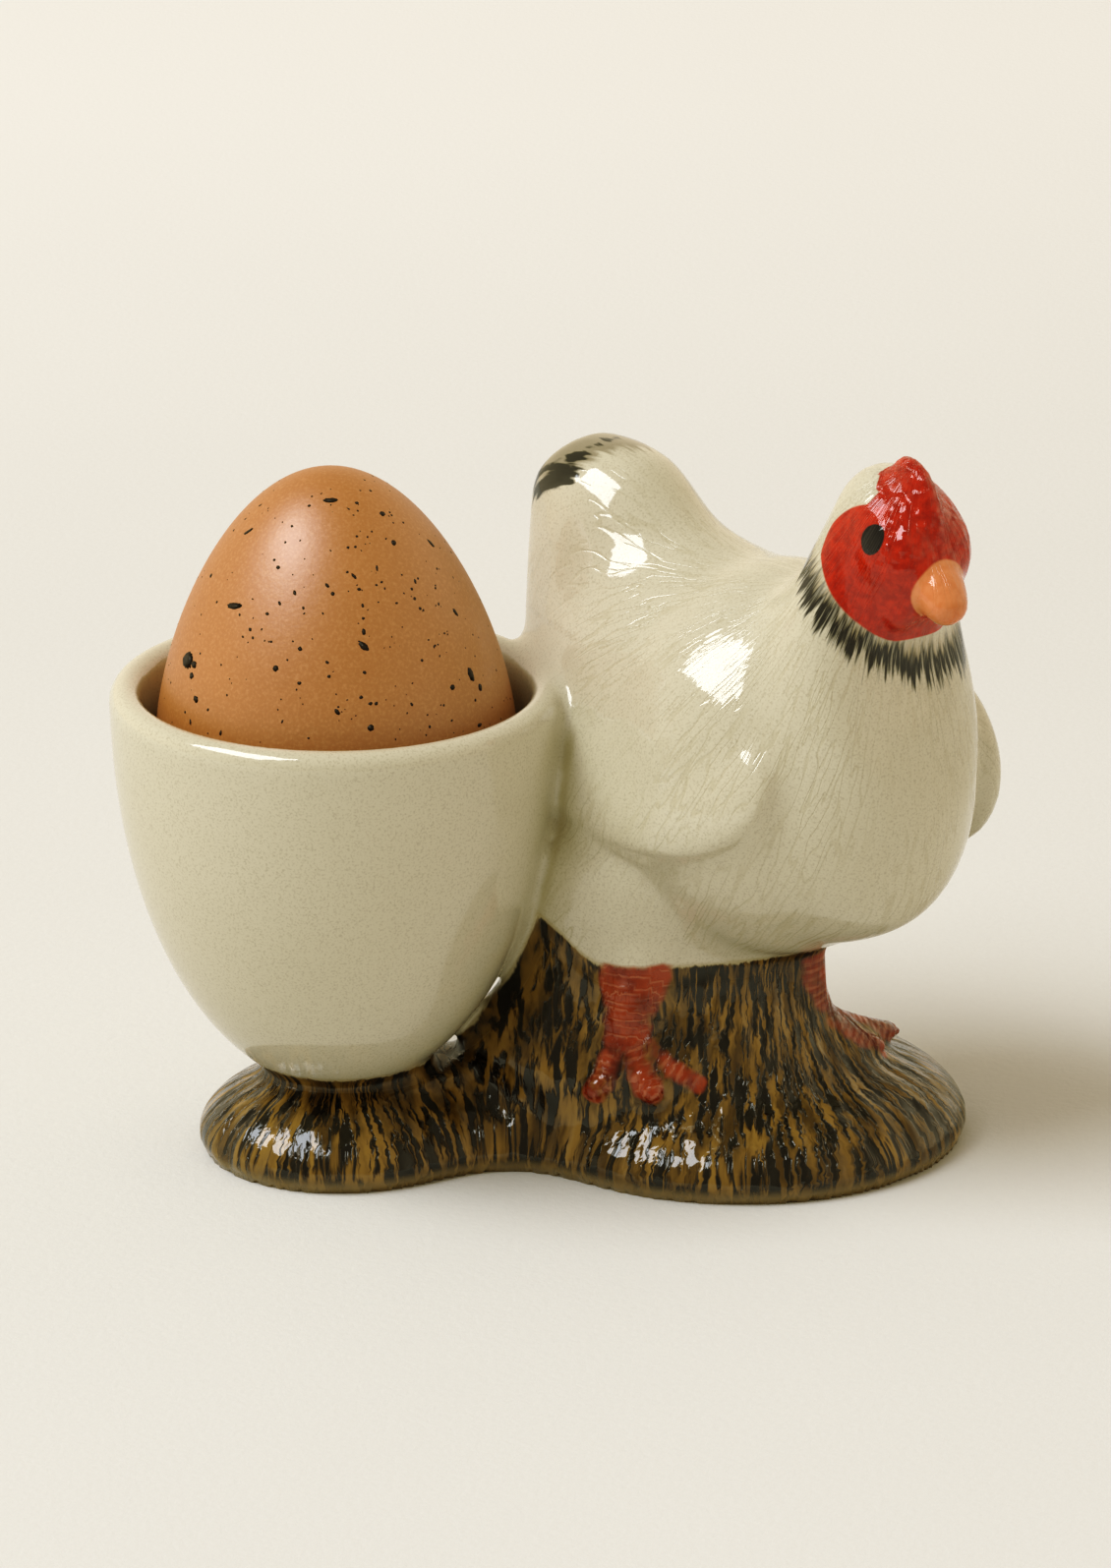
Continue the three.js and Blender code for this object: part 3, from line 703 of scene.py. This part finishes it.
def attribute(tree, name, vector=False):
    made = node(tree, "ShaderNodeAttribute", attribute_name=name)
    return made.outputs["Vector" if vector else "Fac"]


def object_place(tree):
    return node(tree, "ShaderNodeTexCoord").outputs["Object"]


def step_mask(tree, value, low, high):
    """0 at low and 1 at high, eased between; low may be the larger."""
    made = node(tree, "ShaderNodeMapRange", {"Value": value, "From Min": low, "From Max": high},
                interpolation_type="SMOOTHSTEP")
    return made.outputs[0]


def mix_colour(tree, amount, a, b):
    """Colour a where the amount is 0 and colour b where it is 1."""
    made = tree.nodes.new("ShaderNodeMix")
    made.data_type = "RGBA"
    for socket, value in ((made.inputs[0], amount), (made.inputs[6], a), (made.inputs[7], b)):
        if isinstance(value, bpy.types.NodeSocket):
            tree.links.new(value, socket)
        else:
            socket.default_value = value
    return made.outputs[2]


def bumped(tree, shader, height, strength, distance):
    """Relief in the material: the height, in parts of the distance, turned into normals."""
    made = node(tree, "ShaderNodeBump", {"Strength": strength, "Distance": distance, "Height": height})
    tree.links.new(made.outputs[0], shader.inputs["Normal"])


def noise(tree, vector, scale, detail=2.0, rough=0.5, warp=0.0):
    return node(tree, "ShaderNodeTexNoise",
                {"Vector": vector, "Scale": scale, "Detail": detail, "Roughness": rough,
                 "Distortion": warp}).outputs[0]


def drawn_out(tree, flow, across, along, *rest):
    """Noise drawn out along a run: how fast it changes across the run and along it, and the rest
    as for noise."""
    scaled = node(tree, "ShaderNodeVectorMath", [flow, (across, across, along)], operation="MULTIPLY")
    return noise(tree, scaled.outputs[0], 1.0, *rest)


def fine_grain_group():
    """Group shared by the glaze and the shell: a fine noise turned into a mask between two of its
    values, and weakened by the strength."""
    group = bpy.data.node_groups.new("fine_grain", "ShaderNodeTree")
    group.interface.new_socket("Place", in_out="INPUT", socket_type="NodeSocketVector")
    for name in ("Scale", "Detail", "Low", "High", "Strength"):
        group.interface.new_socket(name, in_out="INPUT", socket_type="NodeSocketFloat")
    group.interface.new_socket("Mask", in_out="OUTPUT", socket_type="NodeSocketFloat")
    place, scale, detail, low, high, strength = group.nodes.new("NodeGroupInput").outputs[:6]
    mask = step_mask(group, noise(group, place, scale, detail), low, high)
    group.links.new(times(group, mask, strength), group.nodes.new("NodeGroupOutput").inputs["Mask"])
    return group


FINE_GRAIN = fine_grain_group()


def fine_grain(tree, place, scale, detail, low, high, strength):
    """The shared grain, placed in a material with its own values."""
    values = {"Place": place, "Scale": scale, "Detail": detail, "Low": low, "High": high,
              "Strength": strength}
    return node(tree, "ShaderNodeGroup", values, node_tree=FINE_GRAIN).outputs["Mask"]


# -------- glazed ceramic
def feather_lines(tree, plume, plumed):
    """Thin closed lines where a drawn-out noise crosses its middle value, fainter in patches."""
    feather = drawn_out(tree, plume, 0.80, 0.13, 1.5, 0.5, 0.3)
    off_line = calc(tree, "ABSOLUTE", calc(tree, "SUBTRACT", feather, 0.5))
    patch = step_mask(tree, drawn_out(tree, plume, 0.10, 0.07, 1.0), 0.36, 0.56)
    strength = calc(tree, "MULTIPLY_ADD", patch, 0.75, 0.25)
    return times(tree, times(tree, step_mask(tree, off_line, 0.05, 0.008), strength), plumed)


def cream_glaze(tree, place, line, brown_in):
    """Cream with a fine grain, darker in the feathers' lines and just above the brown, and darker in the
    crease by the cup, where pooled glaze is deepened by painted shade."""
    cream = mix_colour(tree, noise(tree, place, 60.0, 2.0), (0.68, 0.64, 0.505, 1), (0.64, 0.60, 0.46, 1))
    grain = fine_grain(tree, place, 3600.0, 1.0, 0.45, 0.8, 1.0)
    cream = mix_colour(tree, grain, cream, (0.54, 0.495, 0.37, 1))
    cream = mix_colour(tree, times(tree, line, 0.25), cream, (0.44, 0.385, 0.23, 1))
    # painted shade, together with pooled glaze: the crease where the hen meets the cup is darkened
    pool_and_shade = times(tree, step_mask(tree, attribute(tree, "pool_and_shade_in"), 0.0, 1.1), 0.6)
    cream = mix_colour(tree, pool_and_shade, cream, (0.44, 0.385, 0.225, 1))
    halo = times(tree, step_mask(tree, brown_in, -0.8, 0.1), 0.6)
    return mix_colour(tree, halo, cream, (0.40, 0.31, 0.14, 1))


def brown_glaze(tree, place, bark, wander):
    """Long dark strokes falling over amber, paler at the table; and the mask of the grooves."""
    strokes = drawn_out(tree, bark, 1.05, 0.19, 3.0, 0.5, 0.5)
    glow = drawn_out(tree, bark, 0.35, 0.12, 2.0, 0.5, 0.2)
    glow = step_mask(tree, plus(tree, glow, times(tree, wander, 0.5)), 0.55, 0.95)
    brown = mix_colour(tree, glow, (0.085, 0.046, 0.008, 1), (0.31, 0.185, 0.043, 1))
    brown = mix_colour(tree, step_mask(tree, strokes, 0.44, 0.52), brown, (0.055, 0.029, 0.005, 1))
    groove = step_mask(tree, strokes, 0.495, 0.56)
    brown = mix_colour(tree, groove, brown, (0.006, 0.004, 0.002, 1))
    height = node(tree, "ShaderNodeSeparateXYZ", [place]).outputs[2]
    worn = times(tree, step_mask(tree, height, 0.0024, 0.0008), 0.8)
    return mix_colour(tree, worn, brown, (0.27, 0.19, 0.075, 1)), groove


def with_collar(tree, colour, plume, thread):
    """Adds the collar: short ragged black strokes, with a brown tint above them."""
    stroke = drawn_out(tree, plume, 0.62, 0.16, 2.0, 0.5, 0.2)
    ragged = plus(tree, attribute(tree, "collar_up"), swing(tree, stroke, 5.0))
    ragged = plus(tree, ragged, swing(tree, thread, 4.0))
    band = times(tree, step_mask(tree, ragged, -0.5, 0.9), step_mask(tree, ragged, 3.6, 2.2))
    dense = step_mask(tree, plus(tree, thread, times(tree, stroke, 0.6)), 0.62, 0.82)
    black = times(tree, band, calc(tree, "MULTIPLY_ADD", dense, 0.45, 0.52))
    tint = times(tree, step_mask(tree, ragged, 1.4, 2.4), step_mask(tree, ragged, 5.0, 3.2))
    tint = times(tree, tint, step_mask(tree, thread, 0.40, 0.58))
    colour = mix_colour(tree, times(tree, tint, 0.5), colour, (0.36, 0.27, 0.12, 1))
    return mix_colour(tree, black, colour, (0.012, 0.011, 0.013, 1))


def with_tail_tip(tree, colour, thread):
    """Adds the tan tip of the tail, with black strokes along its lower rear edge."""
    fray = swing(tree, thread, 5.0)
    tan = step_mask(tree, plus(tree, attribute(tree, "tail_in"), fray), 0.2, 1.8)
    colour = mix_colour(tree, times(tree, tan, 0.85), colour, (0.29, 0.245, 0.155, 1))
    black = step_mask(tree, plus(tree, attribute(tree, "tail_black"), times(tree, fray, 1.3)), 0.0, 0.7)
    black = times(tree, black, step_mask(tree, thread, 0.34, 0.44))
    return mix_colour(tree, times(tree, black, 0.95), colour, (0.02, 0.02, 0.018, 1))


def with_face(tree, colour, place):
    """Adds the mottled red of face and comb, the orange beak with its paler edge, and the eye."""
    mottle = noise(tree, place, 900.0, 3.0, 0.6)
    bright = step_mask(tree, mottle, 0.3, 0.7)
    red = mix_colour(tree, bright, (0.38, 0.011, 0.001, 1), (0.56, 0.028, 0.006, 1))
    colour = mix_colour(tree, step_mask(tree, attribute(tree, "red_in"), -0.12, 0.12), colour, red)
    beak_in = attribute(tree, "beak_in")
    orange = step_mask(tree, mottle, 0.35, 0.65)
    beak = mix_colour(tree, orange, (0.66, 0.165, 0.045, 1), (0.73, 0.24, 0.095, 1))
    pale = times(tree, step_mask(tree, beak_in, 1.8, 0.0), 0.45)
    beak = mix_colour(tree, pale, beak, (0.72, 0.38, 0.20, 1))
    colour = mix_colour(tree, step_mask(tree, beak_in, -0.1, 0.12), colour, beak)
    eye = step_mask(tree, attribute(tree, "eye_in"), -0.08, 0.08)
    return mix_colour(tree, eye, colour, (0.006, 0.005, 0.009, 1))


def with_legs(tree, colour, place):
    """Adds the dull red legs with a broken pale painted highlight on their ridges; and the ridges alone."""
    ridge = calc(tree, "SINE", times(tree, attribute(tree, "leg_along"), 5.6))
    broken = step_mask(tree, noise(tree, place, 420.0, 2.0), 0.36, 0.62)
    # painted highlight: pale pink laid on the ridge tops, broken in patches
    ridge_highlight = times(tree, step_mask(tree, ridge, -0.2, 1.0), broken)
    blush = noise(tree, place, 330.0, 2.0, 0.5)
    bright = step_mask(tree, blush, 0.35, 0.65)
    red = mix_colour(tree, bright, (0.22, 0.022, 0.003, 1), (0.38, 0.055, 0.012, 1))
    # the painted highlight's colour on the ridges
    red = mix_colour(tree, times(tree, ridge_highlight, 0.55), red, (0.55, 0.20, 0.12, 1))
    leg = step_mask(tree, plus(tree, attribute(tree, "leg_in"), swing(tree, blush, 1.1)), -0.25, 0.4)
    return mix_colour(tree, leg, colour, red), times(tree, ridge, leg)


def glazed_ceramic():
    """Cream glaze with painted areas: each area's edge comes from its stored distance, roughened
    by noise that runs with the feathers or the grooves. The relief is the sum of the strokes and
    grooves cut in, the swelling of feathers and pooled glaze, the legs' ridges and the comb's grain."""
    material, tree, shader = new_material("glazed_ceramic")
    place = object_place(tree)
    plume, plumed = attribute(tree, "plume_flow", True), attribute(tree, "plumed")
    bark, brown_in = attribute(tree, "bark_flow", True), attribute(tree, "brown_in")
    line = feather_lines(tree, plume, plumed)
    thread = drawn_out(tree, plume, 1.8, 0.22, 2.0, 0.5, 0.2)
    wander = drawn_out(tree, bark, 0.8, 0.2, 3.0, 0.6, 0.5)
    brown, groove = brown_glaze(tree, place, bark, wander)
    on_base = step_mask(tree, plus(tree, brown_in, swing(tree, wander, 1.6)), -0.15, 0.25)
    colour = mix_colour(tree, on_base, cream_glaze(tree, place, line, brown_in), brown)
    colour = with_collar(tree, colour, plume, thread)
    colour = with_tail_tip(tree, colour, thread)
    colour = with_face(tree, colour, place)
    colour, ridges = with_legs(tree, colour, place)
    tree.links.new(colour, shader.inputs["Base Color"])

    swell = drawn_out(tree, plume, 0.45, 0.12, 2.0)
    pooled = drawn_out(tree, bark, 0.30, 0.13, 1.0)
    pimple = node(tree, "ShaderNodeTexVoronoi", {"Vector": place, "Scale": 850.0}, feature="SMOOTH_F1")
    height = times(tree, times(tree, calc(tree, "SUBTRACT", 1.0, on_base), line), -0.35)
    for raised, where, amount in (
        (swell, plumed, 0.9),
        (groove, on_base, -0.7),
        (pooled, step_mask(tree, brown_in, 0.5, 3.5), 10.0),
    ):
        height = plus(tree, height, times(tree, times(tree, raised, where), amount))
    height = plus(tree, height, times(tree, ridges, 0.30))
    grain = times(tree, pimple.outputs[0], attribute(tree, "grainy"))
    height = plus(tree, height, times(tree, grain, -4.5))
    bumped(tree, shader, height, 0.5, 0.0002)
    edge = times(tree, step_mask(tree, brown_in, -0.4, 0.0), step_mask(tree, brown_in, 4.0, 1.5))
    tree.links.new(calc(tree, "MULTIPLY_ADD", edge, 0.30, 0.06), shader.inputs["Roughness"])
    shader.inputs["IOR"].default_value = 1.66
    return material


def egg_shell():
    """Warm brown with broad clouds, a fine pale grain and shallow pits."""
    material, tree, shader = new_material("egg_shell")
    place = object_place(tree)
    broad = noise(tree, place, 70.0, 3.0, 0.6)
    grain = fine_grain(tree, place, 2600.0, 2.0, 0.4, 0.8, 0.5)
    colour = mix_colour(tree, broad, (0.42, 0.158, 0.034, 1), (0.50, 0.207, 0.054, 1))
    colour = mix_colour(tree, grain, colour, (0.62, 0.32, 0.13, 1))
    tree.links.new(colour, shader.inputs["Base Color"])
    bumped(tree, shader, noise(tree, place, 1100.0, 3.0, 0.6), 0.35, 0.0001)
    shader.inputs["Roughness"].default_value = 0.46
    shader.inputs["IOR"].default_value = 1.7
    shader.inputs["Specular IOR Level"].default_value = 0.9
    return material


def speckle_pigment():
    """Near-black brown, a little uneven."""
    material, tree, shader = new_material("speckle_pigment")
    uneven = noise(tree, object_place(tree), 700.0)
    colour = mix_colour(tree, uneven, (0.012, 0.008, 0.005, 1), (0.035, 0.02, 0.01, 1))
    tree.links.new(colour, shader.inputs["Base Color"])
    shader.inputs["Roughness"].default_value = 0.5
    return material


# -------- pieces
forms = [
    hen_form(), lump_form(SHOULDERS, 1), lump_form(WING_FAR, 1), lump_form(WING_NEAR, -1),
    lump_form(CHEEK, 1, 1.0), lump_form(CHEEK, -1, 1.0),
    lump_form(WATTLE, 1, 1.0), lump_form(WATTLE, -1, 1.0),
    bar_form(beak_rows()), comb_form(), foot_form(), mound_form(),
]
forms += [bar_form(leg) for leg in LEGS]
forms = [(push_out_of_bowl(p), f) for p, f in forms] + [cup_form()]
points, quads = joined_skin(forms, SKIN_GRID)
points = softened(points, quads, EVEN_STEPS, FILL_STEPS, FILL_AMOUNT)
points[points[:, 2] < TABLE_DRAW, 2] = 0.0

ceramic = shown("hen_and_cup", points, quads, "hen_egg_cup", "glazed_body", glazed_ceramic())
for name, values in paint_distances(points).items():
    keep_value(ceramic, name, values)
keep_value(ceramic, "plume_flow", plume_flow(points))
keep_value(ceramic, "bark_flow", bark_flow(points))
keep_value(ceramic, "plumed", feathered(points))


def egg_form(rows=190, around=260):
    """The shell: rings from the blunt end to the tip, closer together at both ends."""
    above = EGG_LENGTH / 2 * (1 - np.cos(np.linspace(0.012, np.pi - 0.012, rows)))[:, None]
    angle = np.linspace(0, 2 * np.pi, around, endpoint=False)[None]
    return closed_stack(on_egg(angle + 0 * above, above + 0 * angle))


shown("shell", *egg_form(), "boiled_egg", "egg_shell", egg_shell())

# larger speckles: degrees round the egg from the front toward +X, height above the blunt end,
# length, width and turn in degrees
LARGE_SPECKLES = [
    (4.5, 55.1, 1.8, 0.8, 0), (48, 53.1, 0.8, 0.7, 10), (43, 50.2, 0.8, 0.75, 20),
    (-61, 51, 1.6, 0.5, 50), (-73, 53.4, 0.6, 0.3, 60), (-27, 48.4, 0.6, 0.45, -30),
    (-45, 43.4, 2.4, 0.9, 12), (-63.5, 35.7, 2.1, 3.0, 90), (-58.5, 35.6, 0.9, 1.2, 90),
    (-58, 34.2, 0.8, 0.9, 90), (-52.5, 31.9, 1.1, 0.8, -20), (-53.5, 29, 0.8, 0.4, -60),
    (-57.5, 29.8, 0.4, 0.35, 0), (-38.6, 28.9, 0.7, 0.4, 85), (-16, 31.4, 0.5, 0.25, 70),
    (14, 39.9, 1.5, 0.75, -45), (14.5, 41.5, 0.8, 0.5, 90), (15, 43, 0.4, 0.35, 0),
    (15.5, 44.4, 0.5, 0.35, 90), (15, 46.2, 0.5, 0.4, 0), (13.5, 47.6, 0.9, 0.35, -55),
    (26.5, 48.1, 0.8, 0.3, 80), (27, 46.6, 0.35, 0.3, 0), (24, 46.4, 0.35, 0.3, 0),
    (13, 37, 0.5, 0.4, -30), (11, 34.2, 0.5, 0.4, 0), (14, 33.4, 0.55, 0.4, 0),
    (16, 33.3, 0.5, 0.4, 20), (13.5, 30.5, 0.85, 0.8, 0), (2.7, 32.7, 0.9, 0.5, -50),
    (-20, 37.5, 0.8, 0.75, 60), (-11, 39.9, 0.6, 0.5, -60), (-10.5, 36, 0.5, 0.4, 0),
    (0, 36.8, 0.45, 0.4, 0), (-0.5, 38.4, 0.5, 0.35, -40), (57.5, 33.8, 1.8, 1.1, 92),
    (60.5, 31.8, 0.9, 0.9, 80), (46.5, 33.3, 0.8, 0.7, 0), (61, 41, 1.2, 0.6, -70),
    (72, 48.5, 1.4, 0.6, -72), (45, 45.8, 0.7, 0.35, 85), (41, 44.1, 0.45, 0.4, 0),
    (-15.5, 45.9, 0.7, 0.4, -60), (-22, 44.7, 0.6, 0.35, -55), (-27, 43.4, 0.5, 0.4, 0),
    (-33.5, 41.4, 0.5, 0.4, -40), (-23, 40.4, 0.4, 0.3, 0), (0, 46.8, 0.7, 0.4, -50),
    (28.7, 32.6, 0.5, 0.35, -60), (36.2, 37.3, 0.4, 0.35, 0), (31.4, 44.1, 0.4, 0.3, 0),
    (53, 42.7, 0.45, 0.3, 60), (55.6, 27.7, 0.9, 0.5, 0),
]
SMALL_SPECKLES, SPECKLE_SEED = 620, 11
# usual length of a small speckle, corners round each one, and how far it stands off the shell
SPECKLE_LENGTH, SPECKLE_CORNERS, SPECKLE_RISE = 0.24, 14, 0.035


def small_speckles(draw, count):
    """Rows like those of the larger speckles, drawn at random: every fourth lies near the right
    front, the rest anywhere round the egg."""
    length = np.exp(draw.normal(math.log(SPECKLE_LENGTH), 0.36, count))
    near_front = np.arange(count) % 4 == 0
    round_egg = np.where(near_front, draw.normal(38, 24, count), draw.uniform(-180, 180, count))
    return np.stack([round_egg, draw.uniform(4, 56, count), length,
                     length * draw.uniform(0.6, 1.0, count), draw.uniform(0, 180, count)], -1)


def speckles():
    """Closed blisters of pigment: on each spot an uneven oval, one sheet a hair above the shell
    and one a hair below it, joined at the rim."""
    draw = np.random.default_rng(SPECKLE_SEED)
    small = small_speckles(draw, SMALL_SPECKLES)
    spots = np.concatenate([np.array(LARGE_SPECKLES, float), small])
    n, rim = len(spots), SPECKLE_CORNERS
    a = np.linspace(0, 2 * np.pi, rim, endpoint=False)[None]
    wobble = 1 + draw.uniform(-0.16, 0.16, (n, rim)) + 0.12 * np.cos(a + draw.uniform(0, 6, (n, 1)))
    turn = np.radians(spots[:, 4:5])
    u, v = spots[:, 2:3] / 2 * wobble * np.cos(a), spots[:, 3:4] / 2 * wobble * np.sin(a)
    across, up = u * np.cos(turn) - v * np.sin(turn), u * np.sin(turn) + v * np.cos(turn)
    azimuth, here = np.radians(spots[:, 0:1] - 90), spots[:, 1:2]
    slope = (egg_radius(here + 0.05) - egg_radius(here - 0.05)) / 0.1
    height = np.clip(here + up / np.hypot(1, slope), 0.3, EGG_LENGTH - 0.3)
    rim_azimuth = azimuth + across / np.maximum(egg_radius(height), 1.0)
    points = np.concatenate([
        on_egg(azimuth, here, SPECKLE_RISE), on_egg(azimuth, here, -SPECKLE_RISE),
        on_egg(rim_azimuth, height),
    ], 1).reshape(-1, 3)
    j = np.arange(rim)
    k = (j + 1) % rim
    one = np.concatenate([np.stack([0 * j, 2 + j, 2 + k], -1), np.stack([0 * j + 1, 2 + k, 2 + j], -1)])
    faces = (np.arange(n)[:, None, None] * (rim + 2) + one[None]).reshape(-1, 3)
    return points, faces


shown("speckles", *speckles(), "boiled_egg", "egg_shell", speckle_pigment())

# -------- stage, light, camera
def pale_cloth():
    """Pale cloth with a fine weave, and painted light that makes it lighter behind the object."""
    material, tree, shader = new_material("pale_cloth")
    place = object_place(tree)
    weave = noise(tree, place, 900.0, 3.0, 0.6)
    broad = noise(tree, place, 8.0, 3.0, 0.5)
    colour = mix_colour(tree, broad, (0.765, 0.76, 0.73, 1), (0.815, 0.81, 0.78, 1))
    colour = mix_colour(tree, times(tree, weave, 0.2), colour, (0.70, 0.68, 0.64, 1))
    # painted light: the cloth is made lighter behind the object, standing in for brighter light there
    away = node(tree, "ShaderNodeSeparateXYZ", [place]).outputs[1]
    colour = mix_colour(tree, times(tree, step_mask(tree, away, 0.15, 0.6), 0.7), colour,
                        (0.95, 0.94, 0.91, 1))
    tree.links.new(colour, shader.inputs["Base Color"])
    bumped(tree, shader, weave, 0.3, 0.0003)
    shader.inputs["Roughness"].default_value = 0.9
    shader.inputs["Specular IOR Level"].default_value = 0.1
    return material


def cloth_floor(reach):
    """Flat square sheet at the table's height, `reach` metres to each side."""
    mesh = bpy.data.meshes.new("floor")
    corners = [(x * reach, y * reach, 0) for x, y in ((-1, -1), (1, -1), (1, 1), (-1, 1))]
    mesh.from_pydata(corners, [], [(0, 1, 2, 3)])
    mesh.materials.append(pale_cloth())
    return placed("floor", mesh)


cloth_floor(2.5)


def window_light(name, direction, distance, size, power, colour):
    """Rectangular light at a distance from the object's middle, facing it."""
    data = bpy.data.lights.new(name, "AREA")
    data.shape = "RECTANGLE"
    data.size, data.size_y = size
    data.energy = power
    data.color = colour
    light = placed(name, data)
    way = Vector(direction).normalized()
    light.location = way * distance + Vector((0, 0, 0.05))
    light.rotation_euler = way.to_track_quat("Z", "Y").to_euler()


window_light("window", (-0.54, -0.22, 0.80), 2.6, (1.85, 1.22), 51.0, (0.93, 0.98, 1.03))


def room():
    """Surroundings: dim overhead and behind the camera, brighter at the right and at the back."""
    world = bpy.data.worlds.new("room")
    bpy.context.scene.world = world
    world.use_nodes = True
    tree = world.node_tree
    way = node(tree, "ShaderNodeTexCoord").outputs["Generated"]
    x, y, z = node(tree, "ShaderNodeSeparateXYZ", [way]).outputs
    back = times(tree, step_mask(tree, y, -0.9, 0.3), step_mask(tree, z, 0.95, 0.15))
    bright = plus(tree, 0.40, times(tree, back, 0.62))
    bright = plus(tree, bright, times(tree, step_mask(tree, x, 0.1, 0.9), 0.19))
    tree.nodes["Background"].inputs[0].default_value = (1.0, 0.88, 0.70, 1)
    tree.links.new(bright, tree.nodes["Background"].inputs[1])


def standing_camera():
    """Long lens, level from side to side and tipped down at the cup."""
    data = bpy.data.cameras.new("camera")
    frame_height, focus = 1595, 8200
    data.sensor_width = 36
    data.lens = focus / frame_height * 36
    data.clip_start, data.clip_end = 0.05, 20
    camera = placed("camera", data)
    camera.location = ((27.2 + AXIS_X) * MM, (-944.4 + AXIS_Y) * MM, 390.4 * MM)
    camera.rotation_euler = (math.radians(90 - 19.94), 0, 0)
    return camera


def tone_curves():
    """Deepens the shadows of the picture, and those of its blue a little more."""
    view = bpy.context.scene.view_settings
    view.view_transform = "Standard"
    view.use_curve_mapping = True
    all_colours = ((0.03, 0.011), (0.10, 0.058), (0.20, 0.15), (0.32, 0.268), (0.50, 0.47), (0.75, 0.75))
    blue = ((0.015, 0.013), (0.045, 0.037), (0.09, 0.074), (0.16, 0.142), (0.26, 0.25), (0.42, 0.42))
    for curve, bends in ((3, all_colours), (2, blue)):
        for x, y in bends:
            view.curve_mapping.curves[curve].points.new(x, y)
    view.curve_mapping.update()


room()
bpy.context.scene.camera = standing_camera()
tone_curves()
